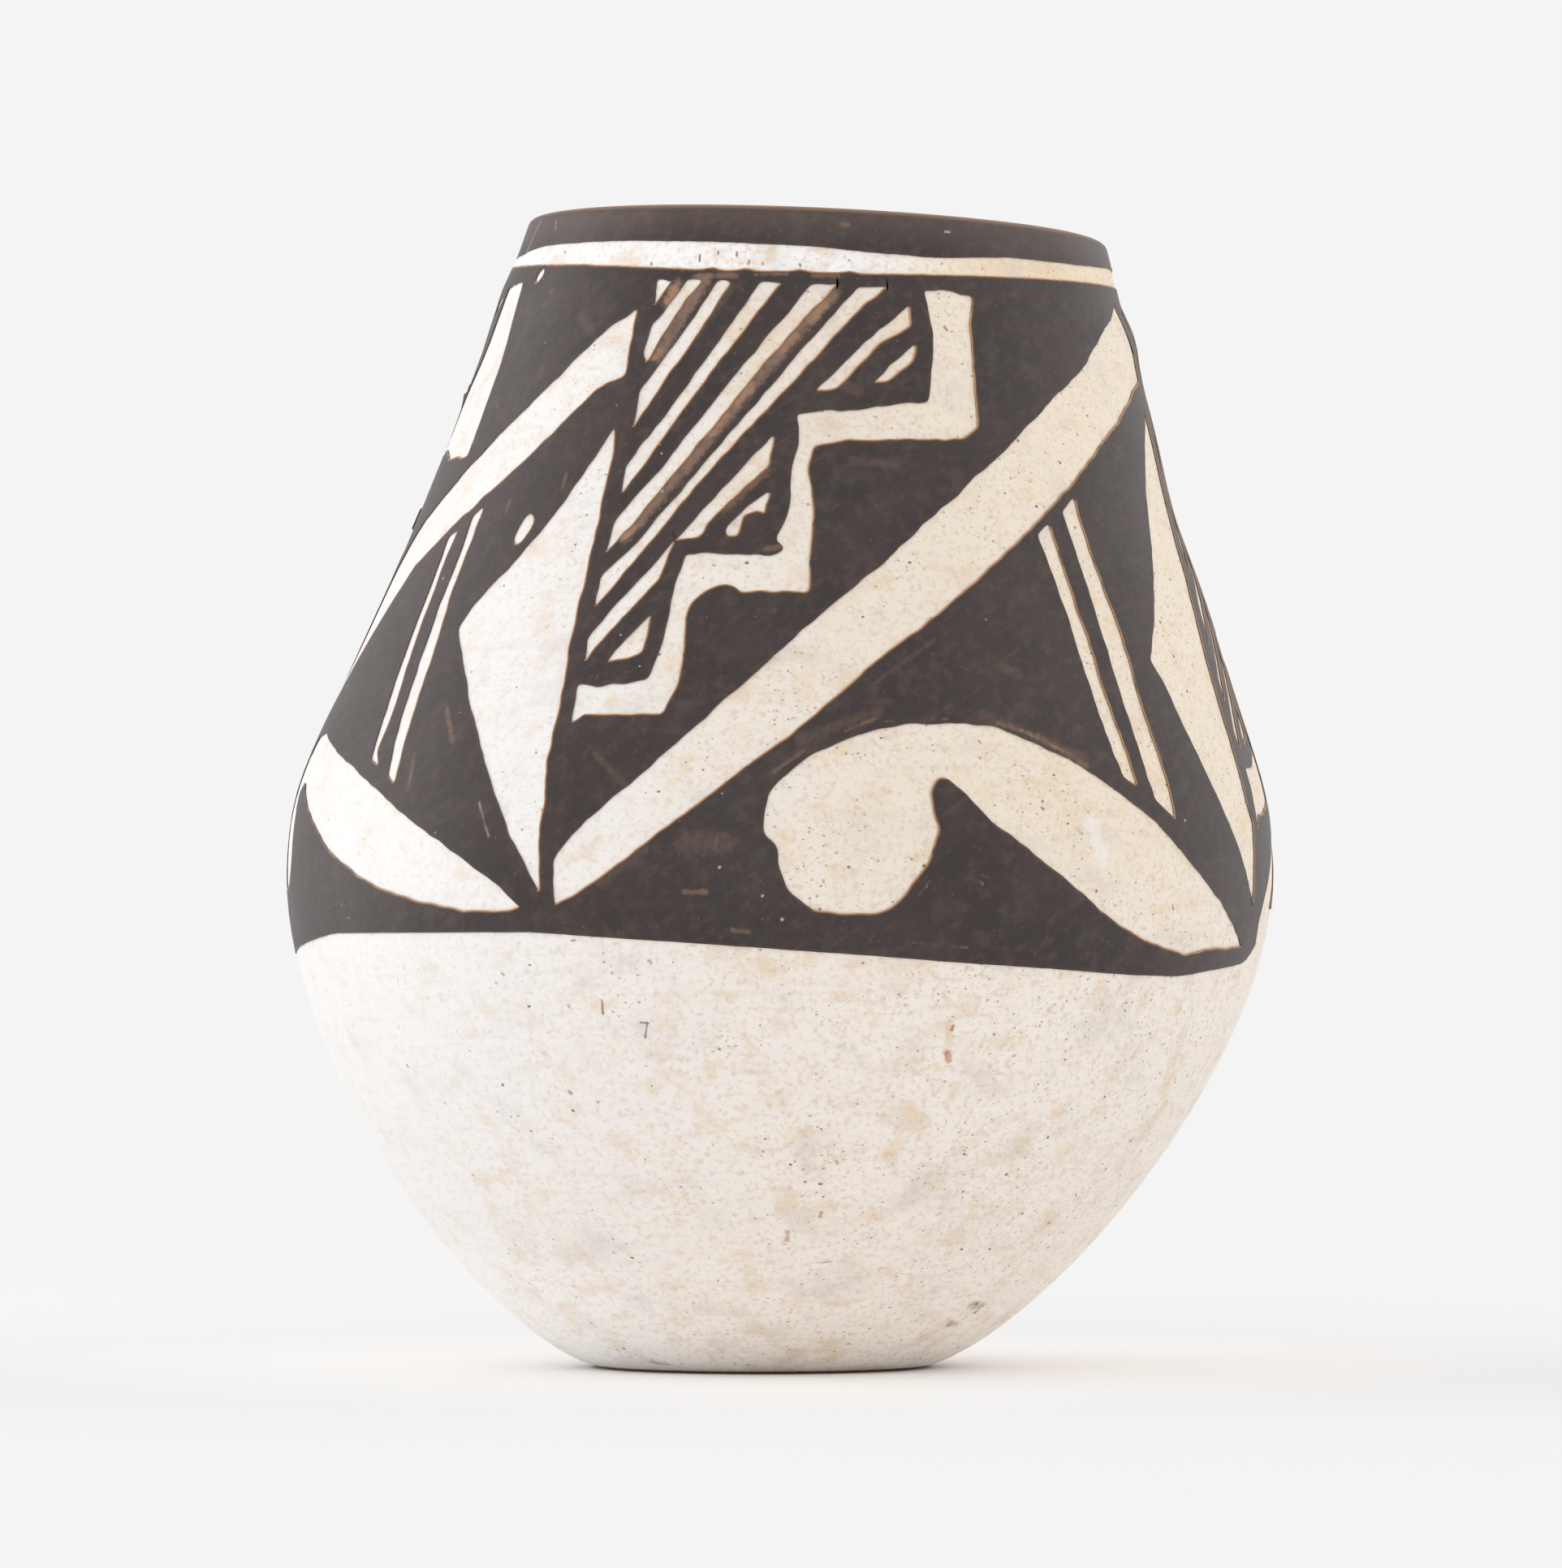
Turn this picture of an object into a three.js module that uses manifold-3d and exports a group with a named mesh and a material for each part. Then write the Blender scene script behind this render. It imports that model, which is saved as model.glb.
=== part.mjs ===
// A small hand-built pottery jar: a base pressed in a dish, coils laid and thinned on top of it, a white slip
// over the outside, a black painted band round the lip and a black painted field with a pattern left in bare slip.
// The finished jar leans a little and its lip is not level.
// Units are millimetres, +Z is up, and the origin is the middle of the flat foot.
import * as THREE from "three";
import { mergeVertices } from "three/addons/utils/BufferGeometryUtils.js";
import Module from "manifold-3d";

// Outside of the finished jar
const HEIGHT = 70; // foot to the top of the lip, on the jar's own middle line
const FOOT_RADIUS = 10;
const BELLY_RADIUS = 30.25;
const BELLY_HEIGHT = 30.2;
const MOUTH_RADIUS = 17.75; // outside of the wall where the lip starts to turn over

// How the two curves of the side leave their ends
const FOOT_RISE_DEG = 15.4; // above the table
const FOOT_PULL = 7.7;
const BELLY_PULL_DOWN = 11.8;
const BELLY_PULL_UP = 8.3;
const NECK_LEAN_DEG = 17; // in from upright
const NECK_PULL = 34.6;

// How far the jar is out of true
const LEAN_DEG = 2.6; // its middle line leans towards +X
const BOW = 0.38; // and bends back towards -X a little above the belly
const BOW_HEIGHT = 37;
const BOW_REACH = 9;
const LIP_SLOPE_DEG = 2.5; // the lip is lower towards +X

// The clay wall, with its slip
const BASE_THICKNESS = 4.6;
const LIP_THICKNESS = 2.7;
const LIP_RISE = 0.7; // of the rounded top above the end of the wall
const SLIP_THICKNESS = 0.3;
const PAINT_THICKNESS = 0.12;
const COAT_GAP = 0.05; // between one coat and what it lies on

// The pieces of clay, measured along the outside of the wall
const BASE_REACH = 20; // foot edge to the top of the dish-pressed base
const COIL_COUNT = 10;
const RIM_REACH = 7.5; // the last coil, which the lip is shaped from
const JOIN_LAP = 2; // each coil laps down this far over the inside of the one below
const JOIN_GAP = 0.3; // the line of wet clay between two coils

const FOOT_BARE = 1; // the slip stops this far from the edge of the foot
const LIP_BAND = 2; // black band below the turn of the lip
const FIELD_BELOW_BELLY = 5.3; // the black field's lower edge
const FIELD_TOP_LINE = 1.4; // bare line between the lip band and the field, along the wall
const FIELD_EDGE = 0.8; // black left above the highest bare shape and below the lowest

const SEGMENTS = 40;
const BASE_STEPS = 5;
const COIL_STEPS = 1;
const RIM_STEPS = 2;
const LIP_STEPS = 4;

// The field is painted in four panels side by side. Each has the same pattern, squeezed to the panel's width.
// Angles are round the jar in degrees, 0 towards -Y and growing towards +X.
const PATTERN_DEG = 105;
const PANELS = [
  { from: -28, width: 105 },
  { from: 77, width: 85 },
  { from: 162, width: 86 },
  { from: 248, width: 84 },
];

// The shapes left bare in one panel. A point is degrees from the panel's left side and height.
const BARE_SHAPES = {
  diagonal_bar: [
    [101.6, 65.3], [92.5, 63.3], [72.7, 58.7], [45, 50.3], [21.4, 40.5], [2, 30.7],
    [2, 28.1], [12.7, 31.7], [30.3, 38.8], [55.6, 48.3], [82.5, 56.1], [102, 59.9],
  ],
  stepped_line: [
    [48.5, 65.1], [57.9, 64.9], [56, 56.6], [52.9, 55.9], [29.5, 55.4], [28.8, 54], [29.8, 50],
    [29.8, 46.6], [20.8, 46.6], [17, 46.8], [14.4, 45.2], [14.3, 41], [13.4, 39.4], [2, 39.2],
    [1.5, 41.2], [10.6, 41.4], [12.6, 48.9], [26.2, 49], [26.8, 57.3], [47.8, 58.1], [49.4, 61.3],
  ],
  hook: [
    [26.4, 34.5], [35.8, 37.9], [48, 38.9], [64.2, 36.5], [81.6, 30.8], [97.4, 25.9], [82.4, 25.7], [70.4, 26.9],
    [57.1, 31.3], [46.1, 35.6], [45.2, 32], [41.5, 28.6], [35.5, 27.6], [29.1, 28.9], [26.1, 32.3],
  ],
  inner_double_line: [[64.2, 50.2], [66.7, 50.9], [69.8, 43.4], [72.9, 35.3], [70.8, 35.8], [67.1, 44.3]],
  outer_double_line: [[69.9, 51.7], [73, 52.6], [76.1, 44.1], [79, 33.3], [75.4, 34.5], [72.8, 43]],
  lens: [
    [102.2, 58.4], [96.8, 55.9], [90.6, 51.3], [81, 42.9], [85.2, 38.5],
    [92.2, 32.5], [98.9, 28.3], [98.7, 33.3], [97.5, 39], [99.4, 50.3],
  ],
  hatch_1: [[-0.7, 65.5], [2.5, 65.4], [-0.2, 63.9]],
  hatch_2: [[5.3, 65.4], [8.3, 65.4], [0.5, 60.6], [-0.4, 61.1], [0.1, 62.9]],
  hatch_3: [[11.2, 65.3], [13.6, 65.3], [8.2, 61.8], [0.4, 56.6], [0.2, 58.9], [5.9, 62.2]],
  hatch_4: [[18.9, 65.3], [22.9, 65.3], [9.2, 58.1], [0.9, 52.6], [0.5, 54.3], [9.7, 59.8]],
  hatch_5: [[28, 65.2], [32.7, 65.3], [20.6, 60.2], [0.5, 49], [0.7, 51], [19, 60.9]],
  hatch_6: [[36.4, 65.2], [41.7, 65.2], [13.8, 53.7], [1, 45.8], [0.6, 47.5], [15, 55.3]],
  hatch_7: [[45.4, 64.2], [45.5, 62.8], [32.9, 58.8], [29.6, 58.7], [38.6, 61.9]],
  hatch_8: [[23.3, 56], [23, 54.2], [14.2, 49.9], [10.8, 50]],
  hatch_9: [[10.2, 49.2], [9.4, 47.4], [1.7, 42.3], [0.9, 43.8]],
};
const CUTTER_INSIDE = 0.8; // a shape's cutter runs from this share of the jar's radius
const CUTTER_OUTSIDE = 1.25; // to this one
const SHORTEST_EDGE = 0.02; // where a cut just misses a corner, edges shorter than this are closed up

const clayMaterial = new THREE.MeshStandardMaterial({ color: 0xb9a58d, roughness: 0.95, metalness: 0 });
const slipMaterial = new THREE.MeshStandardMaterial({ color: 0xefe6d8, roughness: 0.6, metalness: 0 });
const paintMaterial = new THREE.MeshStandardMaterial({ color: 0x2f2724, roughness: 0.55, metalness: 0 });

// The finished side of the jar, from the edge of the foot up to the lip, as (radius, height)
function sideCurve() {
  const footRise = THREE.MathUtils.degToRad(FOOT_RISE_DEG);
  const neckLean = THREE.MathUtils.degToRad(NECK_LEAN_DEG);
  const foot = new THREE.Vector2(FOOT_RADIUS, 0);
  const belly = new THREE.Vector2(BELLY_RADIUS, BELLY_HEIGHT);
  const sunk = (LIP_THICKNESS / 2) * Math.sin(neckLean); // the wall's middle is lower than its outside there
  const lipTop = Math.hypot(sunk, LIP_RISE * Math.cos(neckLean)) - sunk;
  const mouth = new THREE.Vector2(MOUTH_RADIUS, HEIGHT - lipTop);
  const side = new THREE.CurvePath();
  side.add(
    new THREE.CubicBezierCurve(
      foot,
      new THREE.Vector2(Math.cos(footRise), Math.sin(footRise)).multiplyScalar(FOOT_PULL).add(foot),
      new THREE.Vector2(0, -BELLY_PULL_DOWN).add(belly),
      belly,
    ),
  );
  side.add(
    new THREE.CubicBezierCurve(
      belly,
      new THREE.Vector2(0, BELLY_PULL_UP).add(belly),
      new THREE.Vector2(Math.sin(neckLean), -Math.cos(neckLean)).multiplyScalar(NECK_PULL).add(mouth),
      mouth,
    ),
  );
  return side;
}

const side = sideCurve();
const sideLength = side.getLength();

// A point in the wall: how far up the side it is, and how deep below the finished surface
function wallPoint(reach, depth) {
  const share = THREE.MathUtils.clamp(reach / sideLength, 0, 1);
  const along = side.getTangent(share);
  const inwards = new THREE.Vector2(-along.y, along.x);
  return side.getPoint(share).addScaledVector(inwards, depth);
}

// How far up the side a height is. The side always rises, so halving the stretch finds it.
function reachAtHeight(height) {
  let [low, high] = [0, sideLength];
  while (high - low > 0.001) {
    const middle = (low + high) / 2;
    if (wallPoint(middle, 0).y < height) low = middle;
    else high = middle;
  }
  return low;
}

function wallThickness(reach) {
  return THREE.MathUtils.lerp(BASE_THICKNESS, LIP_THICKNESS, reach / sideLength);
}

// Points up the wall at one depth, from one reach to another. The depth may be a function of the reach.
function wallLine(from, to, steps, depth) {
  const depthAt = typeof depth === "function" ? depth : () => depth;
  return Array.from({ length: steps + 1 }, (_, i) => {
    const reach = THREE.MathUtils.lerp(from, to, i / steps);
    return wallPoint(reach, depthAt(reach));
  });
}

// The flattened round top of the lip, from outside to inside, at one depth below the finished surface
function lipArc(depth) {
  const middle = wallPoint(sideLength, LIP_THICKNESS / 2);
  const outwards = wallPoint(sideLength, 0).sub(middle).normalize();
  const upwards = outwards.clone().rotateAround(new THREE.Vector2(), Math.PI / 2);
  return Array.from({ length: LIP_STEPS + 1 }, (_, i) => {
    const turn = (Math.PI * i) / LIP_STEPS;
    const across = (LIP_THICKNESS / 2 - depth) * Math.cos(turn);
    const up = (LIP_RISE - depth) * Math.sin(turn);
    return middle.clone().addScaledVector(outwards, across).addScaledVector(upwards, up);
  });
}

// Stands a closed outline up round +Z
function turned(outline) {
  const closed = outline[0].x === 0 ? outline : [...outline, outline[0]];
  return new THREE.LatheGeometry(closed, SEGMENTS).rotateX(Math.PI / 2);
}

// Sets the turned shape out of true, as the finished jar is: the lip slopes, and below its black band the rim coil
// makes up for it
function byHand(geometry) {
  const leanPerMm = Math.tan(THREE.MathUtils.degToRad(LEAN_DEG));
  const dropPerMm = Math.tan(THREE.MathUtils.degToRad(LIP_SLOPE_DEG));
  const rimFoot = wallPoint(sideLength - RIM_REACH, 0).y;
  const bandFoot = wallPoint(sideLength - LIP_BAND, 0).y;
  const position = geometry.getAttribute("position");
  for (let i = 0; i < position.count; i++) {
    const z = position.getZ(i);
    const bow = BOW * Math.exp(-(((z - BOW_HEIGHT) / BOW_REACH) ** 2));
    const x = position.getX(i) + leanPerMm * z - bow;
    const share = THREE.MathUtils.clamp((z - rimFoot) / (bandFoot - rimFoot), 0, 1);
    position.setXYZ(i, x, position.getY(i), z - dropPerMm * share * x);
  }
  return geometry;
}

function piece(name, geometry, material) {
  const mesh = new THREE.Mesh(byHand(geometry), material);
  mesh.name = name;
  return mesh;
}

const clayDepth = SLIP_THICKNESS + COAT_GAP;
const coilRise = (sideLength - BASE_REACH - RIM_REACH) / COIL_COUNT;

// The base: the foot, the floor and the low wall that the dish shaped
function baseOutline() {
  const outside = wallLine(FOOT_BARE, BASE_REACH, BASE_STEPS, clayDepth);
  const foot = new THREE.Vector2(FOOT_RADIUS, 0);
  const inside = wallLine(0, BASE_REACH - JOIN_LAP, BASE_STEPS, wallThickness).reverse();
  const floorHeight = inside.at(-1).y;
  return [new THREE.Vector2(0, 0), foot, ...outside, ...inside, new THREE.Vector2(0, floorHeight)];
}

// One coil, thinned into the wall, with a lapped join at its foot and its head
function coilOutline(from, to) {
  const outside = wallLine(from + JOIN_GAP, to, COIL_STEPS, clayDepth);
  const inside = wallLine(from + JOIN_GAP - JOIN_LAP, to - JOIN_LAP, 1, wallThickness);
  return [...outside, ...inside.reverse()];
}

// The last coil, whose head is the rounded lip
function rimOutline() {
  const from = sideLength - RIM_REACH + JOIN_GAP;
  const outside = wallLine(from, sideLength, RIM_STEPS, clayDepth).slice(0, -1);
  const inside = wallLine(from - JOIN_LAP, sideLength, RIM_STEPS, wallThickness).slice(0, -1);
  return [...outside, ...lipArc(clayDepth), ...inside.reverse()];
}

// A coat that lies between two depths, from a reach up the side to over the lip
function coatOutline(rows, inner, outer) {
  const face = [...rows(outer).slice(0, -1), ...lipArc(outer)];
  const back = [...rows(inner).slice(0, -1), ...lipArc(inner)];
  return [...face, ...back.reverse()];
}

// The white slip covers the whole outside. Its rows are the clay's own, so the two faces stay parallel.
function slipReaches() {
  const reaches = [];
  for (let step = 0; step < BASE_STEPS; step++) {
    reaches.push(THREE.MathUtils.lerp(FOOT_BARE, BASE_REACH, step / BASE_STEPS));
  }
  for (let step = 0; step < COIL_COUNT * COIL_STEPS; step++) {
    reaches.push(BASE_REACH + (coilRise * step) / COIL_STEPS);
  }
  for (let step = 0; step <= RIM_STEPS; step++) {
    reaches.push(sideLength - RIM_REACH * (1 - step / RIM_STEPS));
  }
  return reaches;
}

function slipRows(depth) {
  return slipReaches().map((reach) => wallPoint(reach, depth));
}

function lipBandRows(depth) {
  return wallLine(sideLength - LIP_BAND, sideLength, 1, depth);
}

const fieldBottom = reachAtHeight(BELLY_HEIGHT - FIELD_BELOW_BELLY);
const fieldTop = sideLength - LIP_BAND - FIELD_TOP_LINE;

// The black field before its pattern is cut. It keeps the slip's rows, and both faces are closed at its edges.
function fieldOutline() {
  const between = slipReaches().filter((reach) => reach > fieldBottom && reach < fieldTop);
  const reaches = [fieldBottom, ...between, fieldTop];
  const face = reaches.map((reach) => wallPoint(reach, -COAT_GAP - PAINT_THICKNESS));
  const back = reaches.map((reach) => wallPoint(reach, -COAT_GAP));
  return [...face, ...back.reverse()];
}

const shapeHeights = Object.values(BARE_SHAPES).flatMap((points) => points.map(([, height]) => height));

// Where a height in the pattern comes on this jar
function patternHeight(height) {
  return THREE.MathUtils.mapLinear(
    height,
    Math.min(...shapeHeights),
    Math.max(...shapeHeights),
    wallPoint(fieldBottom, 0).y + FIELD_EDGE,
    wallPoint(fieldTop, 0).y - FIELD_EDGE,
  );
}

// A bare shape as a solid that passes through the field, spreading out from the jar's middle line
function shapeCutter(points, panel) {
  const flat = new THREE.Shape(points.map(([angle, height]) => new THREE.Vector2(angle, height)));
  const geometry = new THREE.ExtrudeGeometry(flat, { depth: 1, bevelEnabled: false });
  const position = geometry.getAttribute("position");
  for (let i = 0; i < position.count; i++) {
    const turn = THREE.MathUtils.degToRad(panel.from + (position.getX(i) * panel.width) / PATTERN_DEG);
    const height = patternHeight(position.getY(i));
    const share = THREE.MathUtils.lerp(CUTTER_INSIDE, CUTTER_OUTSIDE, position.getZ(i));
    const radius = wallPoint(reachAtHeight(height), 0).x * share;
    position.setXYZ(i, radius * Math.sin(turn), -radius * Math.cos(turn), height);
  }
  return geometry;
}

const wasm = await Module();
wasm.setup();

function toSolid(geometry) {
  const bare = geometry.clone();
  bare.deleteAttribute("normal");
  bare.deleteAttribute("uv");
  const merged = mergeVertices(bare);
  const vertProperties = new Float32Array(merged.getAttribute("position").array);
  const triVerts = new Uint32Array(merged.getIndex().array);
  return new wasm.Manifold(new wasm.Mesh({ numProp: 3, vertProperties, triVerts }));
}

function toGeometry(solid) {
  const mesh = solid.getMesh();
  const geometry = new THREE.BufferGeometry();
  geometry.setAttribute("position", new THREE.BufferAttribute(mesh.vertProperties, 3));
  geometry.setIndex(new THREE.BufferAttribute(mesh.triVerts, 1));
  geometry.computeVertexNormals();
  return geometry;
}

// The black field with its bare shapes cut out
function paintedField() {
  let field = toSolid(turned(fieldOutline()));
  for (const panel of PANELS) {
    for (const points of Object.values(BARE_SHAPES)) {
      field = field.subtract(toSolid(shapeCutter(points, panel)));
    }
  }
  return toGeometry(field.simplify(SHORTEST_EDGE));
}

const jar = new THREE.Group();
jar.add(piece("base", turned(baseOutline()), clayMaterial));
for (let coil = 0; coil < COIL_COUNT; coil++) {
  const from = BASE_REACH + coil * coilRise;
  jar.add(piece(`wall_coil_${coil + 1}`, turned(coilOutline(from, from + coilRise)), clayMaterial));
}
jar.add(piece("rim_coil", turned(rimOutline()), clayMaterial));
jar.add(piece("white_slip", turned(coatOutline(slipRows, SLIP_THICKNESS, 0)), slipMaterial));
jar.add(piece("painted_field", paintedField(), paintMaterial));
const lipCoat = coatOutline(lipBandRows, -COAT_GAP, -COAT_GAP - PAINT_THICKNESS);
jar.add(piece("lip_paint", turned(lipCoat), paintMaterial));

export default jar;
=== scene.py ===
# %% [markdown]
# # A small hand-built pottery jar, black on white
# The jar is about 70 mm tall. A base pressed in a dish carries ten coils and a rim coil of clay. The
# outside is coated with white clay slip, and a thin mineral paint fired black covers the upper half. The
# pattern on it is not painted: it is the white slip that the painter left bare between the black.
#
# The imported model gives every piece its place. Each piece here is turned again with more steps, set out of
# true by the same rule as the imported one, and given the finish that the fired jar shows.

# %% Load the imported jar
import math

import bmesh
import bpy
import numpy as np
from mathutils import Matrix, Vector
from mathutils.bvhtree import BVHTree
from mathutils.geometry import interpolate_bezier
from mathutils.interpolate import poly_3d_calc
from mathutils.kdtree import KDTree


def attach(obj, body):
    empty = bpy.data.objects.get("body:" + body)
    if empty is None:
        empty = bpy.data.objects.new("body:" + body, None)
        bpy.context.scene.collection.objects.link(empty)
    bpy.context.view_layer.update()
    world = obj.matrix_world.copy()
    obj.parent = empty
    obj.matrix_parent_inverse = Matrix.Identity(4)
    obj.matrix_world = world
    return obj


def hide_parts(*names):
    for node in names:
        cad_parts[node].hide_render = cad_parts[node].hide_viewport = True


MM = 0.001
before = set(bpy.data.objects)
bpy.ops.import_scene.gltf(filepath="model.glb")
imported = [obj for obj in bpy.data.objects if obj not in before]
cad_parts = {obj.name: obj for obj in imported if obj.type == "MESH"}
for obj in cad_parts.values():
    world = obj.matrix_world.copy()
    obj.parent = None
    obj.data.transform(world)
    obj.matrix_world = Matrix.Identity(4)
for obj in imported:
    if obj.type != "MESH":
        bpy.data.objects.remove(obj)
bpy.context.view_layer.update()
print("packed pieces:", ", ".join(sorted(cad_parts)))

# %% [markdown]
# ## Camera
# The photographer stood low and far away with a long lens: the foot's front edge shows as a nearly straight
# line and the inside of the mouth is hidden. A long lens also keeps the sides of the jar from swelling
# towards us.

# %% Stand the camera in front of the jar
CAMERA_PLACE = Vector((1.2, -535, 24)) * MM
CAMERA_AIM = Vector((1.2, 0, 35.85)) * MM
FRAME_HEIGHT = 96.6 * MM  # what the picture's height takes in at the jar's middle line

sight = CAMERA_AIM - CAMERA_PLACE
camera = bpy.data.objects.new("camera", bpy.data.cameras.new("camera"))
bpy.context.scene.collection.objects.link(camera)
bpy.context.scene.camera = camera
camera.location = CAMERA_PLACE
camera.rotation_euler = sight.to_track_quat("-Z", "Y").to_euler()
camera.data.sensor_fit = "VERTICAL"
camera.data.sensor_height = 36
camera.data.lens = camera.data.sensor_height * sight.length / FRAME_HEIGHT
camera.data.clip_start = 0.01
bpy.context.scene.view_settings.view_transform = "Standard"
print("lens in mm:", round(camera.data.lens, 1))

# %% [markdown]
# ## The side of the jar as one line
# A potter checks a jar by its side view, and everything here follows that one line: two curves that meet at
# the belly, a low half round over the lip, and the inside of the wall back down. A place on the jar is then
# a distance along the line, called its reach, and a depth under the surface, so a coat of slip is just the
# same line drawn at another depth.

# %% The outside of the wall
HEIGHT = 70
FOOT_RADIUS = 10
BELLY_RADIUS = 30.25
BELLY_HEIGHT = 30.2
MOUTH_RADIUS = 17.75
NECK_LEAN = 17  # degrees in from upright
BASE_THICKNESS = 4.6
LIP_THICKNESS = 2.7
LIP_RISE = 0.7  # of the rounded lip above the end of the wall
FOOT_FLARE = 15.4  # degrees above level at which the wall leaves the foot
FOOT_PULL = 7.7  # this and the next three are the lengths of the curves' handles
BELLY_PULL_DOWN = 11.8
BELLY_PULL_UP = 8.3
NECK_PULL = 34.6


def curve(start, leave, arrive, end, count=240):
    """Points along a curve that leaves its start towards one handle and arrives at its end from the other."""
    handles = [Vector(point) for point in (start, leave, arrive, end)]
    return [tuple(point) for point in interpolate_bezier(*handles, count)]


def away(start, angle, length):
    """The point that lies a length away from another, at an angle in degrees above level."""
    turn = math.radians(angle)
    return (start[0] + length * math.cos(turn), start[1] + length * math.sin(turn))


def reaches_along(points):
    """How far along a line of points each of them is."""
    return np.concatenate(([0], np.cumsum(np.hypot(*np.diff(points, axis=0).T))))


class SideLine:
    """A line in the side view, in mm. A place by it is a reach along it and a depth to its left."""

    def __init__(self, points):
        self.points = np.array(points)
        self.reach = reaches_along(self.points)
        along = np.gradient(self.points, self.reach, axis=0)
        along /= np.hypot(*along.T)[:, None]
        self.into = np.stack((-along[:, 1], along[:, 0]), axis=1)

    def at(self, reach, depth=0):
        """Radius and height of a place. Reach and depth may be arrays."""
        radius, height = (np.interp(reach, self.reach, self.points[:, axis]) for axis in (0, 1))
        into_radius, into_height = (np.interp(reach, self.reach, self.into[:, axis]) for axis in (0, 1))
        return radius + depth * into_radius, height + depth * into_height


foot = (FOOT_RADIUS, 0)
belly = (BELLY_RADIUS, BELLY_HEIGHT)
sunk = LIP_THICKNESS / 2 * math.sin(math.radians(NECK_LEAN))
lip_top = math.hypot(sunk, LIP_RISE * math.cos(math.radians(NECK_LEAN))) - sunk
mouth = (MOUTH_RADIUS, HEIGHT - lip_top)
lower = curve(foot, away(foot, FOOT_FLARE, FOOT_PULL), away(belly, -90, BELLY_PULL_DOWN), belly)
upper = curve(belly, away(belly, 90, BELLY_PULL_UP), away(mouth, NECK_LEAN - 90, NECK_PULL), mouth)
wall = SideLine(lower + upper[1:])
SIDE_LENGTH = wall.reach[-1]
print("length of the side in mm:", round(SIDE_LENGTH, 2))


# %% The line on over the lip and down the inside
def wall_thickness(reach):
    return np.interp(reach, [0, SIDE_LENGTH], [BASE_THICKNESS, LIP_THICKNESS])


lip_turn = np.linspace(0, math.pi, 60)[1:-1]
lip_middle = np.array(wall.at(SIDE_LENGTH, LIP_THICKNESS / 2))
outwards = mouth - lip_middle
upwards = np.array([-outwards[1], outwards[0]]) * LIP_RISE / (LIP_THICKNESS / 2)
lip = lip_middle + np.outer(np.cos(lip_turn), outwards) + np.outer(np.sin(lip_turn), upwards)
down = np.linspace(SIDE_LENGTH, SIDE_LENGTH - 12, 60)
inside = np.stack(wall.at(down, wall_thickness(down)), axis=1)
skin = SideLine(np.concatenate((wall.points, lip, inside)))
LIP_INSIDE = skin.reach[len(wall.points) + len(lip)]


def reach_at(height):
    """How far up the outside a height is."""
    return np.interp(height, wall.points[:, 1], wall.reach)


print("length over the lip in mm:", round(LIP_INSIDE - SIDE_LENGTH, 2))

# %% [markdown]
# ## From a turned jar to a hand-made one
# Every piece is spun true about the middle line first, because spinning is exact and quick. Then one rule
# moves all their points together: the jar leans, bends back a little above the belly, its lip slopes, the
# neck's right side is pressed in a little below a slight swelling, and the wall wanders in and out by less
# than a tenth of a millimetre as hands leave it. As every coat follows the same rule, no coat pokes through
# another.

# %% The rule that sets a true jar out of true
LEAN = math.tan(math.radians(2.6))
BOW = (0.38, 37, 9)  # size, height and reach of the bend back towards -X
SWELLING = (0.36, 63.7, 2.2)  # the same of the swelling on the right, under the lip
PRESS = (0.38, 52.5, 4)  # the same of the place below that where the right side is pressed in
LIP_SLOPE = math.tan(math.radians(2.5))
RIM_REACH = 7.5  # how much of the side the rim coil takes
BAND_REACH = 2  # how much of it the black lip band takes
RIM_FOOT = wall.at(SIDE_LENGTH - RIM_REACH)[1]
BAND_FOOT = wall.at(SIDE_LENGTH - BAND_REACH)[1]
LIP_SHIFT = 0.3  # the lip is set over towards +X
SHIFT_RISE = 2  # mm of height below the band over which that shift comes in
WANDER_FULL = 8  # below this height the wall wanders less, so that the foot stays round


def hump(place, size, middle, reach):
    """A soft swelling of a size at its middle, which fades out within about twice its reach."""
    return size * np.exp(-(((place - middle) / reach) ** 2))


def set_by_hand(points):
    """Moves true points, in metres, to where the hand-made jar has them."""
    x, y, z = (points / MM).T
    turn = np.arctan2(x, -y)
    wander = 0.03 * np.cos(3 * turn + z / 9) + 0.02 * np.cos(5 * turn - z / 6 + 1)
    wander = (wander + 0.015 * np.cos(8 * turn + z / 4)) * np.clip(z / WANDER_FULL, 0, 1)
    x = x + wander * np.sin(turn)
    y = y - wander * np.cos(turn)
    right_side = hump(z, *SWELLING) - hump(z, *PRESS)
    x = x + right_side * np.clip(np.sin(turn), 0, 1) ** 2
    x = x + LEAN * z - hump(z, *BOW)
    x = x + LIP_SHIFT * np.clip((z - BAND_FOOT + SHIFT_RISE) / SHIFT_RISE, 0, 1)
    share = np.clip((z - RIM_FOOT) / (BAND_FOOT - RIM_FOOT), 0, 1)
    return np.stack((x, y, z - LIP_SLOPE * share * x), axis=1) * MM


def on_jar(angle, height, lift=0.0):
    """The place on the finished outside at an angle in degrees round the jar and a height on the true jar."""
    radius, height = wall.at(reach_at(height), -lift)
    turn = math.radians(angle)
    true_point = np.array([[radius * math.sin(turn), -radius * math.cos(turn), height]]) * MM
    return Vector(set_by_hand(true_point)[0])


print("top of the lip in front, in mm:", round(on_jar(0, 68)[2] / MM, 2))


# %% Helpers that turn an outline and finish a piece
SHARP_EDGE = 50  # degrees between faces above which their edge isn't shaded smooth


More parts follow.
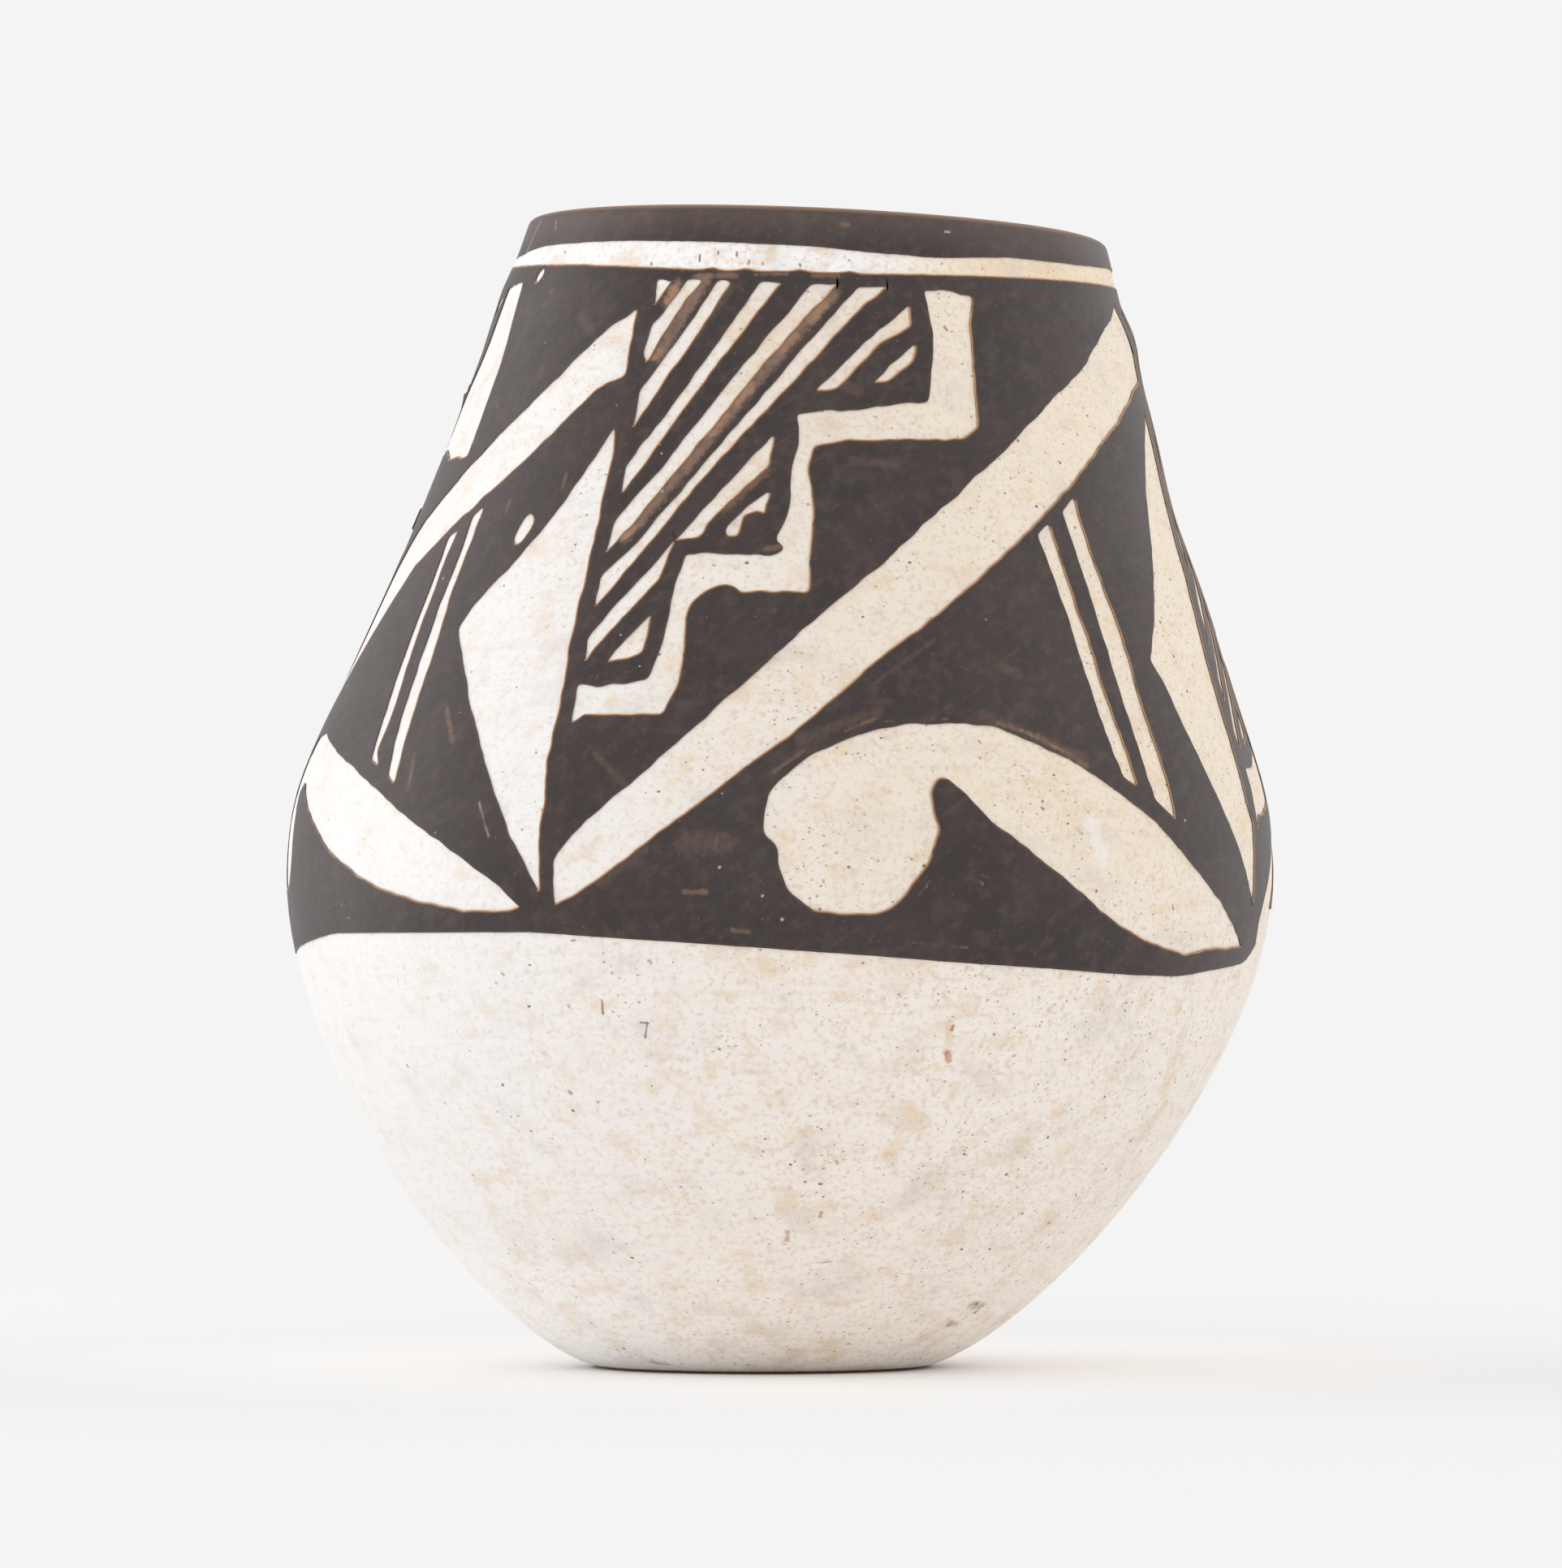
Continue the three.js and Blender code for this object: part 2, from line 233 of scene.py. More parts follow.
def turned(outline, steps, closed=True):
    """Turns an outline of (radius, height) in mm round the middle line, and numbers its rows.

    An eighth of the turn is spun and doubled three times, because a spin slows down as its mesh grows.
    """
    bm = bmesh.new()
    row = bm.verts.layers.int.new("row")
    verts = [bm.verts.new((0, -radius * MM, height * MM)) for radius, height in outline]
    for number, vert in enumerate(verts):
        vert[row] = number
    ends = zip(verts, verts[1:] + verts[:1]) if closed else zip(verts, verts[1:])
    edges = [bm.edges.new(pair) for pair in ends]
    eighth = math.tau / 8
    bmesh.ops.spin(bm, geom=verts + edges, cent=(0, 0, 0), axis=(0, 0, 1), angle=eighth, steps=steps // 8)
    for angle in (eighth, 2 * eighth, 4 * eighth):
        copy = bmesh.ops.duplicate(bm, geom=bm.verts[:] + bm.edges[:] + bm.faces[:])["geom"]
        copied = [item for item in copy if isinstance(item, bmesh.types.BMVert)]
        bmesh.ops.rotate(bm, verts=copied, cent=(0, 0, 0), matrix=Matrix.Rotation(angle, 3, "Z"))
    bmesh.ops.remove_doubles(bm, verts=bm.verts, dist=0.001 * MM)
    bmesh.ops.recalc_face_normals(bm, faces=bm.faces)
    return bm


def mesh_from(name, bm):
    mesh = bpy.data.meshes.new(name)
    bm.to_mesh(mesh)
    bm.free()
    return mesh


def finished(name, mesh, slot, *nodes):
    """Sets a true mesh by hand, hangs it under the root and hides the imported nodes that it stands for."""
    points = np.empty(3 * len(mesh.vertices))
    mesh.vertices.foreach_get("co", points)
    mesh.vertices.foreach_set("co", set_by_hand(points.reshape(-1, 3)).ravel())
    mesh.attributes.remove(mesh.attributes["row"])
    mesh.shade_smooth()
    mesh.set_sharp_from_angle(angle=math.radians(SHARP_EDGE))
    mesh.update()
    piece = bpy.data.objects.new(name, mesh)
    bpy.context.scene.collection.objects.link(piece)
    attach(piece, "root")
    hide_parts(*nodes)
    low, high = (np.array(side) / MM for side in (piece.bound_box[0], piece.bound_box[6]))
    print(f"{name}: {len(mesh.polygons)} faces, from {np.round(low, 1)} to {np.round(high, 1)} mm")
    return piece


# %% [markdown]
# ## The clay
# The base was pressed in a shallow dish and the coils were laid on it one after another. Each coil laps
# over the inside of the one below, and the potter pinched and scraped it into the wall, so the outside is
# smooth and the inside keeps a faint swelling at each coil. The coats hide all of this from outside, and a
# look into the mouth shows it. Each piece is its own closed outline, spun round.

# %% The base and the coils
BASE_REACH = 20  # how far up the side the base goes
COIL_COUNT = 10
JOIN_LAP = 2  # how far each piece goes down over the inside of the one below
JOIN_GAP = 0.04
SLIP_THICKNESS = 0.3
COAT_GAP = 0.005
COIL_SWELL = 0.14  # of the inside at the middle of a coil
SLIP_INSIDE = 2.2  # how far the slip goes down inside the mouth
SLIP_TAPER = 0.3  # over which it thins out there
UNDER_FOOT = [(0, 0.12), (8.2, 0.1), (9.1, 0), (9.7, 0.02)]  # a little hollow, so the jar stands on a ring
FLOOR_DISH = [(5, 0.35), (0, 0.5)]  # radius, and how far the floor inside dips there
CLAY_TURN_STEPS = 128
coil_rise = (SIDE_LENGTH - BASE_REACH - RIM_REACH) / COIL_COUNT
clay_depth = SLIP_THICKNESS + COAT_GAP


def outline_up(low, high, steps, depth):
    """Points up the wall from one reach to another, at a depth that may change with the share of the way."""
    share = np.linspace(0, 1, steps + 1)
    reach = low + (high - low) * share
    return list(zip(*wall.at(reach, depth(reach, share))))


def outer_face(reach, share):
    return clay_depth + 0 * reach


def inner_face(reach, share):
    """The scraped inside, which swells at the middle of each coil and makes room for slip below the lip."""
    under_slip = np.clip((reach - SIDE_LENGTH + SLIP_INSIDE + SLIP_TAPER) / SLIP_TAPER, 0, 1)
    swell = COIL_SWELL * np.sin(math.pi * share) * (1 - under_slip)
    return wall_thickness(reach) + swell - clay_depth * under_slip


def shape_clay(name, node, outline, closed=True):
    """Turns an outline into a piece of clay."""
    mesh = mesh_from(name, turned(outline, CLAY_TURN_STEPS, closed))
    return finished(name, mesh, "fired_clay", node)


base_outside = outline_up(0.7, BASE_REACH, 24, outer_face)
base_inside = outline_up(1.5, BASE_REACH - JOIN_LAP, 20, lambda reach, share: wall_thickness(reach))
floor_height = base_inside[0][1]
base_outline = UNDER_FOOT + base_outside + base_inside[::-1]
base_outline += [(radius, floor_height - dip) for radius, dip in FLOOR_DISH]
clay_pieces = [shape_clay("clay_base", "base", base_outline, closed=False)]

for number in range(1, COIL_COUNT + 1):
    low = BASE_REACH + (number - 1) * coil_rise + JOIN_GAP
    high = low - JOIN_GAP + coil_rise
    face = outline_up(low, high, 6, outer_face)
    back = outline_up(low - JOIN_LAP, high - JOIN_LAP, 8, inner_face)
    clay_pieces.append(shape_clay(f"clay_coil_{number}", f"wall_coil_{number}", face + back[::-1]))

# %% The rim coil
low = SIDE_LENGTH - RIM_REACH + JOIN_GAP
over_lip = np.linspace(SIDE_LENGTH, LIP_INSIDE, 16)[1:-1]
rim_outline = outline_up(low, SIDE_LENGTH, 8, outer_face)
rim_outline += list(zip(*skin.at(over_lip, clay_depth)))
rim_outline += outline_up(low - JOIN_LAP, SIDE_LENGTH, 24, inner_face)[::-1]
clay_pieces.append(shape_clay("clay_rim", "rim_coil", rim_outline))

# %% [markdown]
# ## The white slip
# The slip is a coat of fine white clay wiped over the dry jar and polished with a stone. It runs from the
# foot over the lip and ends a little way down inside the mouth. One closed outline between two depths gives
# it.

# %% The slip coat
SLIP_FROM = 0.45
SLIP_TURN_STEPS = 216
slip_to = LIP_INSIDE + SLIP_INSIDE
up_the_side = np.linspace(SLIP_FROM, SIDE_LENGTH, 100)
over_the_lip = np.linspace(SIDE_LENGTH, LIP_INSIDE, 20)[1:]
down_inside = np.linspace(LIP_INSIDE, slip_to, 8)[1:]
slip_reach = np.concatenate((up_the_side, over_the_lip, down_inside))
# The face of the slip lies deeper at both ends, where the coat thins out.
face_depth = np.interp(slip_reach, [0, 0.8, slip_to - SLIP_TAPER, slip_to], [0.1, 0, 0, 0.25])
back_depth = np.full_like(slip_reach, SLIP_THICKNESS)
slip_outline = list(zip(*skin.at(slip_reach, face_depth)))
slip_outline += list(zip(*skin.at(slip_reach, back_depth)))[::-1]
slip_mesh = mesh_from("slip_coat", turned(slip_outline, SLIP_TURN_STEPS))
slip = finished("slip_coat", slip_mesh, "white_slip", "white_slip")

# %% [markdown]
# ## The black lip band
# The painter held a loaded brush against the lip and turned the jar, so the band's lower edge wanders up
# and down by a few tenths of a millimetre, and inside the mouth the band ends where the brush left off. The
# band is turned with straight edges, and then its edge rows slide along the side line to where the brush
# ran.

# %% Where the brush ran: heights of painted edges, by angle round the jar
PAINT_LIFT = 0.03
PAINT_THICKNESS = 0.05
LIP_BAND_EDGE = [
    (-78, 67.5), (-65, 67.8), (-42, 67.8), (-20, 67.7), (-1, 67.6), (10, 67.4), (22, 67.3), (39, 67.8),
    (57, 67.9), (87, 68.4), (130, 67.9), (180, 67.6), (230, 67.8),
]
FIELD_TOP = [
    (-87, 67), (-47.5, 66.5), (-31, 66.2), (-17, 66), (-4.5, 66), (10, 66), (30, 66.3), (55, 66.7),
    (83.5, 67.1), (120, 66.5), (170, 66.1), (220, 66.6),
]
FIELD_BOTTOM = [
    (-87, 25.4), (-63, 26.6), (-29, 26.6), (-5.5, 25.8), (23, 24.75), (45, 24.1), (54, 24), (62, 24.4),
    (72.3, 24.8), (75, 25.6), (81, 28.2), (105, 28), (140, 26.8), (180, 26.4), (225, 25.8),
]


def round_the_jar(table, angle):
    """A height read from a table of (angle, height) that closes on itself, with its corners softened."""
    angles, heights = zip(*table)
    fine = np.arange(-180, 540, 0.5)
    straight = np.interp(fine, [a + turn for turn in (-360, 0, 360) for a in angles], heights * 3)
    soft = np.convolve(straight, np.hanning(15) / np.hanning(15).sum(), mode="same")
    return np.interp(angle % 360, fine, soft)


def brush_shake(angle, seed, size):
    """The small unsteadiness of a painted edge, which closes on itself round the jar."""
    rng = np.random.default_rng(seed)
    waves = rng.integers(12, 220, 26)
    shifts = rng.uniform(0, math.tau, 26)
    turn = np.radians(np.asarray(angle))
    shake = sum(np.cos(wave * turn + shift) / math.sqrt(wave) for wave, shift in zip(waves, shifts))
    return size * shake


def points_of(mesh):
    """A mesh's points in mm, as three arrays."""
    points = np.empty(3 * len(mesh.vertices))
    mesh.vertices.foreach_get("co", points)
    return points.reshape(-1, 3).T / MM


def place_round(mesh, turn, radius, height):
    """Puts a mesh's points at angles in radians round the jar, and at radii and heights in mm."""
    placed = np.stack((radius * np.sin(turn), -radius * np.cos(turn), height), axis=1) * MM
    mesh.vertices.foreach_set("co", placed.ravel())


def coat(name, reach, depth, steps, shift):
    """A turned coat whose outline follows the skin. Each row is then slid along it by shift(angle, reach)."""
    mesh = mesh_from(name, turned(list(zip(*skin.at(reach, depth))), steps))
    row = np.empty(len(mesh.vertices), dtype=np.int32)
    mesh.attributes["row"].data.foreach_get("value", row)
    x, y, _ = points_of(mesh)
    turn = np.arctan2(x, -y)
    place_round(mesh, turn, *skin.at(reach[row] + shift(np.degrees(turn), reach[row]), depth[row]))
    return mesh


def closed_coat(reach, outer, inner):
    """Reaches and depths of a coat's outline, up its face and back down its underside."""
    reaches = np.concatenate((reach, reach[::-1]))
    return reaches, np.concatenate((np.full_like(reach, outer), np.full_like(reach, inner)))


# %% The lip band
BAND_FROM = SIDE_LENGTH - BAND_REACH
BAND_TO = LIP_INSIDE + 1.1  # a little way down inside the mouth
BAND_FREE = 2.2  # the rows this near to an edge of the band follow the brush
BAND_ROWS = 34
BAND_TURN_STEPS = 360


def band_shift(angle, reach):
    low_edge = reach_at(round_the_jar(LIP_BAND_EDGE, angle)) + brush_shake(angle, 3, 0.02)
    high_edge = BAND_TO + brush_shake(angle, 4, 0.09)
    near_low = np.clip(1 - (reach - BAND_FROM) / BAND_FREE, 0, 1)
    near_high = np.clip(1 - (BAND_TO - reach) / BAND_FREE, 0, 1)
    return near_low * (low_edge - BAND_FROM) + near_high * (high_edge - BAND_TO)


band_outline = closed_coat(
    np.linspace(BAND_FROM, BAND_TO, BAND_ROWS), -PAINT_LIFT - PAINT_THICKNESS, -PAINT_LIFT
)
band_mesh = coat("lip_band", *band_outline, BAND_TURN_STEPS, band_shift)
print("lip band:", len(band_mesh.polygons), "faces")

# %% [markdown]
# ## The black field and its bare shapes
# The black field is one thin coat, from just below the belly to the white line under the lip. Four upright
# black lines divide it into panels of unequal width, and each panel repeats one traditional design: a
# hatched corner with a stepped line, a rising bar, two pairs of slanting lines, a long lens against the
# next panel and a hook below. The painter outlined each shape and filled round it, so the white is bare
# slip.
#
# It could be a mask in a material, but then its edges would be only as sharp as the picture that the finish
# is kept in. Here the shapes are cut out of the coat like dough, so the edges stay sharp at any distance,
# and a narrow border along them can carry the brown that thin paint fires to.

# %% The coat before its shapes are cut out
FIELD_ROWS = 36
FIELD_TURN_STEPS = 320
FIELD_FROM = reach_at(24.5)
FIELD_TO = reach_at(66.5)
BRUSH_ENDS = (-18.3, -12, -2.1, 6.8)  # where full hatch strokes ran a little over the field's top edge


def field_shift(angle, reach):
    low_edge = reach_at(round_the_jar(FIELD_BOTTOM, angle)) + brush_shake(angle, 1, 0.016)
    high_edge = reach_at(round_the_jar(FIELD_TOP, angle)) + brush_shake(angle, 2, 0.016)
    for end in BRUSH_ENDS:
        high_edge += hump(angle, 0.15, end, 1.3)
    share = (reach - FIELD_FROM) / (FIELD_TO - FIELD_FROM)
    return low_edge + share * (high_edge - low_edge) - reach


field_outline = closed_coat(
    np.linspace(FIELD_FROM, FIELD_TO, FIELD_ROWS), -PAINT_LIFT - PAINT_THICKNESS, -PAINT_LIFT
)
field_mesh = coat("field_coat", *field_outline, FIELD_TURN_STEPS, field_shift)
print("field before cutting:", len(field_mesh.polygons), "faces")

# %% The bare shapes of the panel in front
# A shape is a list of brush strokes, and a stroke is a list of (angle round the jar, height) that it runs
# smoothly through. Strokes meet at corners, and a stroke of one point is a corner alone.
FRONT_SHAPES = {
    "diagonal_bar": [
        [(74.9, 65.6), (68.3, 64.4), (62.2, 63.1), (54.4, 60.8), (44.7, 58.7), (30.8, 54.8), (17, 50.3),
         (1.7, 44.4), (-6.6, 40.5), (-17, 35.4), (-23.9, 32.2), (-26, 30.7)],
        [(-25.9, 28.1), (-21.7, 29.3), (-15.3, 31.7), (-5.1, 35.8), (2.3, 38.8), (11.2, 42.6), (18.7, 45.2),
         (27.6, 48.3), (36, 50.9), (45.4, 53.5), (55.1, 56.1), (67.9, 58.9), (76, 60.2)],
        [(79, 60.4), (78.6, 61.9), (76.6, 62.9), (75.2, 64.2)],
    ],
    "stepped_line": [
        [(20.5, 65.1), (23, 65.2), (25.8, 65.2)],
        [(27.5, 64.9), (29.9, 64.9)],
        [(28.7, 63.1), (28.3, 59.6), (28, 56.6)],
        [(26.4, 56.2), (24.9, 55.9)],
        [(14.8, 55.8), (6.7, 55.7), (1.5, 55.3)],
        [(0.7, 54), (1.4, 52.5), (1.7, 51), (1.8, 46.6)],
        [(-4.2, 46.6), (-7, 46.6)],
        [(-8.3, 47), (-9.9, 47), (-12.8, 46.4), (-13.9, 45.5), (-13.5, 43.1), (-13.4, 41.6), (-14.6, 39.4)],
        [(-16, 39.4), (-21.1, 39.4), (-24.8, 39.5)],
        [(-26, 38.9)],
        [(-26.5, 41.2)],
        [(-23.5, 41), (-19.8, 41.2), (-17.4, 41.4)],
        [(-16.8, 42.2), (-16.3, 43.8), (-16.2, 47.1), (-15.4, 48.9)],
        [(-10.4, 48.8), (-5.6, 48.8), (-2.9, 48.8), (-1.8, 49.2)],
        [(-3, 49.7), (-1.5, 51.7), (-1.6, 53.8), (-0.7, 55.6), (-1.2, 57.3)],
        [(2.6, 57.5), (6.4, 57.5), (12.7, 57.8), (19.8, 58.1)],
        [(20.6, 59.7), (21.4, 61.3), (21.1, 63.3)],
    ],
    "hook": [
        [(-1.6, 34.5), (0.4, 35.7), (3.5, 36.9), (7.8, 37.9), (12.6, 38.6), (16.3, 38.8), (24.1, 38.7),
         (28.5, 38.1), (36.2, 36.5), (41.9, 34.8), (48.1, 32.9), (53.6, 30.8), (60, 28.7), (69.4, 25.8)],
        [(58.2, 25.6), (54.4, 25.3)],
        [(46.7, 26.1), (42.4, 26.9), (36.5, 28.7), (29.1, 31.3), (24.2, 33.1), (21.2, 34.6)],
        [(19.2, 35.5), (18.1, 35.6), (16.9, 34.8)],
        [(17.6, 32.5), (16.7, 30.9), (14.6, 29.3), (12.5, 28.1), (10.4, 27.7), (6.1, 27.7), (3.6, 27.9),
         (1.1, 28.9), (0.3, 29.8), (-0.6, 31.7), (-1.8, 32.3), (-1.9, 33.3)],
    ],
    "inner_double_line": [
        [(36.2, 50.2), (38.7, 50.9)],
        [(39.7, 48.3), (41.8, 43.4), (43.1, 39.5), (44.9, 35.3)],
        [(42.8, 35.8)],
        [(40.7, 40), (39.1, 44.3), (37.4, 48.2)],
    ],
    "outer_double_line": [
        [(41.9, 51.7), (45, 52.6)],
        [(45.6, 49.3), (48.1, 44.1), (49.3, 38.6), (51, 33.3)],
        [(47.4, 34.5)],
        [(46.2, 38.1), (44.8, 43), (43.1, 48.3)],
    ],
    "lens": [
        [(76.9, 58.6), (70.8, 55.9), (64.3, 51.3), (53, 42.9)],
        [(55.1, 41.2), (57.2, 38.5), (59.8, 35.6), (64.2, 32.5), (70.9, 28.3)],
        [(70.8, 33.3), (69.7, 34.5), (69.4, 37.8), (70.5, 44.1), (74.2, 49.6), (77.2, 52.6), (77.6, 56)],
    ],
    "hatch_1": [[(-28.7, 65.5), (-25.5, 65.4)], [(-26.7, 64.8), (-28.2, 63.9)]],
    "hatch_2": [
        [(-22.7, 65.4), (-19.7, 65.4)],
        [(-22.3, 64.3), (-25.3, 62.5), (-27.5, 60.6)],
        [(-28.4, 61.1), (-28.2, 61.9), (-27.9, 62.9)],
        [(-26.6, 63.3), (-24.3, 64.5)],
    ],
    "hatch_3": [
        [(-16.8, 65.3), (-14.4, 65.3)],
        [(-16.8, 63.7), (-19.8, 61.8), (-24.8, 58.7), (-27.6, 56.6)],
        [(-27.8, 58.9)],
        [(-25.8, 60), (-22.1, 62.2), (-19.6, 63.6)],
    ],
    "hatch_4": [
        [(-9.1, 65.3), (-5.1, 65.3)],
        [(-8, 64), (-11.8, 62.1), (-18.8, 58.1), (-24.1, 54.6), (-27.1, 52.6)],
        [(-27.5, 54.3)],
        [(-24.6, 56.1), (-18.3, 59.8), (-12.7, 63.2)],
    ],
    "hatch_5": [
        [(0, 65.2), (4.7, 65.3)],
        [(0.2, 63.6), (-7.4, 60.2), (-16, 55.7), (-23.6, 51.2), (-27.5, 49)],
        [(-27.3, 51)],
        [(-22.4, 53.5), (-17.4, 56.5), (-9, 60.9), (-5.2, 62.7)],
    ],
    "hatch_6": [
        [(8.4, 65.2), (13.7, 65.2)],
        [(9.1, 64), (2.6, 61.3), (-5.5, 57.8), (-14.2, 53.7), (-22.7, 48.6), (-27, 45.8)],
        [(-27.4, 47.5)],
        [(-22.5, 50), (-13, 55.3), (-4.6, 59.5), (2, 62.4)],
    ],
    "hatch_7": [
        [(17.4, 64.1), (17.5, 62.7)],
        [(12.1, 61.6), (8, 60.1), (4.9, 58.8)],
        [(1.6, 58.7)],
        [(6, 60.4), (10.6, 61.9)],
    ],
    "hatch_8": [[(18.2, 61.6), (17.8, 60.6)], [(13.4, 59.3), (10.9, 59.2)], [(13.6, 60.2)]],
    "hatch_9": [
        [(-4.7, 56), (-5, 54.2)],
        [(-6.7, 53.5), (-10.3, 52), (-13.2, 50.7)],
        [(-13.3, 50.2), (-13.8, 49.9)],
        [(-17.5, 49.7)],
        [(-14.4, 51.3), (-8, 54.5)],
    ],
    "hatch_10": [
        [(-4.6, 52.6), (-4.9, 51.2)],
        [(-6, 51.4), (-7.9, 51.2)],
        [(-8.5, 49.9)],
        [(-10.1, 49.9), (-10.4, 50.3)],
        [(-7.6, 51.7), (-6.2, 52.1)],
    ],
    "hatch_11": [
        [(-17.4, 49.8), (-18.6, 47.4)],
        [(-21.5, 45.9), (-24.5, 44), (-25.4, 43.3)],
        [(-26.3, 42.5)],
        [(-27.1, 43.8)],
        [(-24.8, 45.4), (-22.1, 47), (-19.7, 48.4)],
    ],
    "hatch_12": [[(-18.8, 45.3), (-18.9, 43.1)], [(-20.6, 42.7), (-23.3, 42.5)], [(-21.4, 43.8)]],
}

# %% The shapes that the left panel has of its own
LEFT_SHAPES = {
    "diagonal_bar": [
        [(-31.6, 63.8), (-37.4, 62.6), (-44.7, 60.3), (-57.4, 56.4), (-69.4, 53.1), (-78.7, 50.5),
         (-83.5, 48), (-89.5, 42.5), (-97.5, 36.4), (-104, 31)],
        [(-103.6, 28.3), (-96, 32.2), (-88, 37.3), (-82, 41.2), (-75.5, 45.6), (-69.5, 49)],
        [(-63.2, 50.6), (-52.3, 53.5), (-44.2, 56.1), (-35.8, 59.1), (-31.2, 59.8)],
        [(-31.6, 61.9)],
    ],
    "stepped_line": [
        [(-75.6, 65.6), (-67.2, 65.85)],
        [(-66.3, 63.4), (-65.4, 61), (-65.5, 55.5)],
        [(-75, 55.6), (-81.6, 56.3)],
        [(-85.2, 55.2), (-84.4, 52.5), (-83.5, 50)],
        [(-90, 49.1)],
        [(-94.3, 48.4), (-95, 43.3), (-96, 40.8)],
        [(-103, 40.3)],
        [(-104, 42.2)],
        [(-98, 42.9)],
        [(-97.3, 47.3), (-96.8, 50.4)],
        [(-93.5, 51.2), (-92.5, 52.6)],
        [(-92.4, 57.2), (-91, 58.9)],
        [(-86.5, 59.2), (-80.4, 61.3), (-77.3, 64)],
    ],
    "hatch_7": [
        [(-80.6, 64.7), (-82.6, 62.7)],
        [(-87, 61.4), (-91, 60.5)],
        [(-97, 59.6)],
        [(-91.5, 61.8), (-86, 63.4)],
    ],
    "hatch_8": [[(-97, 57.5), (-97.5, 56.2)], [(-100, 55.6)], [(-101, 56.6)]],
    "hook": [
        [(-30.2, 28.1), (-35.3, 30), (-43.4, 32.4), (-57.9, 36), (-76.4, 38.8)],
        [(-81, 38.6), (-85, 36.8), (-88, 34.6), (-89, 32.5), (-87.5, 30.5), (-84.5, 29.4), (-81, 29.8),
         (-79.2, 31.5), (-79.5, 33.8)],
        [(-80.3, 35.3)],
        [(-78.2, 35.8), (-71.6, 33.9), (-64.3, 31.8), (-56.5, 30.1), (-48.6, 28.9), (-38, 27.9),
         (-33.4, 27.8)],
    ],
    "inner_double_line": [
        [(-56.3, 51.7), (-54, 52.2)],
        [(-54.2, 47.2), (-52.2, 40.8), (-50.9, 35.5)],
        [(-52.7, 36)],
        [(-53.1, 37.3), (-54.3, 40.1), (-56, 45.9), (-56, 49.9)],
    ],
    "outer_double_line": [
        [(-61.2, 50.5), (-58.9, 50.9)],
        [(-59.4, 48.6), (-58.6, 44.5), (-56.6, 40), (-56.6, 37.6)],
        [(-55.2, 36.6)],
        [(-57.5, 37)],
        [(-58.1, 39.5), (-60.5, 45.3), (-61, 48.3)],
    ],
    "lens": [
        [(-31, 56.7), (-35.6, 53.2), (-41.7, 49.3), (-47.8, 46.3), (-49.5, 44.8)],
        [(-45.2, 42.2), (-42.6, 40.6), (-37.3, 37.1), (-31.6, 32.3), (-27.8, 28.9)],
        [(-27.7, 34.5), (-28.7, 42.1), (-29.3, 43.4)],
        [(-30.3, 55.3)],
    ],
}
MISSED_SPOTS = [
    [(-44.5, 50.2), (-44.1, 50.8), (-43.2, 51.5), (-42.1, 51.5), (-41.5, 51), (-42.1, 50.3), (-42.9, 49.8),
     (-43.9, 49.8), (-44.5, 50.2)],
    [(-60.6, 66.5), (-59.7, 66.35), (-59.7, 66), (-60.8, 65.72), (-61.9, 65.85), (-61.8, 66.25),
     (-60.6, 66.5)],
]

# %% [markdown]
# The painter drew the other panels by eye from the same design. Each has its own width and its own heights,
# so a shape goes to another panel by its share of the way across and by a table of heights. The left panel
# is partly in view, and where it is, its shapes are drawn as they stand there.

# %% Where the panels meet, and how each one's heights were drawn
BORDERS = [  # heights and angles along the upright black line on each panel's left
    [(28, -26.9), (43, -28.2), (56, -29.2), (64, -30)],
    [(25.6, 75), (32, 71.3), (40, 71.4), (45, 72.8), (49.6, 76), (52.6, 79.4), (57, 80), (61, 81.2),
     (66, 78)],
    [(28, 160), (44, 161), (64, 165)],
    [(28, 256), (44, 254), (56, 252.5), (65, 249.5)],
]
# For each panel: (height in the front panel, height in this one), then (share of the way across, weight)
PANEL_HEIGHTS = [
    ([(24, 24), (66, 66)], [(0, 1)]),
    ([(24, 24), (28, 25.5), (39.2, 32.9), (41.2, 36.5), (43.5, 38.5), (47.5, 42), (57, 54), (66, 66)], [
        (0, 1), (0.55, 0),
    ]),
    ([(24, 24), (28, 28.8), (40, 41.2), (52, 51.2), (66, 66)], [(0, 1)]),
    ([(24, 24), (28, 28), (39.4, 41.5), (44.4, 48.3), (50, 52.6), (57.3, 57), (66, 66)], [
        (0, 0.3), (0.3, 1), (0.53, 0),
    ]),
]


def border_angle(number, height):
    heights, angles = zip(*BORDERS[number % 4])
    return np.interp(height, heights, angles) + 360 * (number // 4)


def in_panel(panel, angle, height):
    """Where a place in the front panel comes in another one."""
    share = (angle - border_angle(0, height)) / (border_angle(1, height) - border_angle(0, height))
    heights, weights = PANEL_HEIGHTS[panel]
    weight = np.interp(share, *zip(*weights))
    height = (1 - weight) * height + weight * np.interp(height, *zip(*heights))
    left, right = border_angle(panel, height), border_angle(panel + 1, height)
    return left + share * (right - left), height


def brush_line(points):
    """A smooth line through the points of one stroke."""
    points = [Vector(point) for point in points]
    line = []
    for i, (start, end) in enumerate(zip(points, points[1:])):
        before = points[max(i - 1, 0)]
        after = points[min(i + 2, len(points) - 1)]
        third = (end - start).length / 3
        leave = start + (end - before).normalized() * third
        arrive = end - (after - start).normalized() * third
        line += [tuple(point) for point in interpolate_bezier(start, leave, arrive, end, 9)[:-1]]
    return line + [tuple(points[-1])]


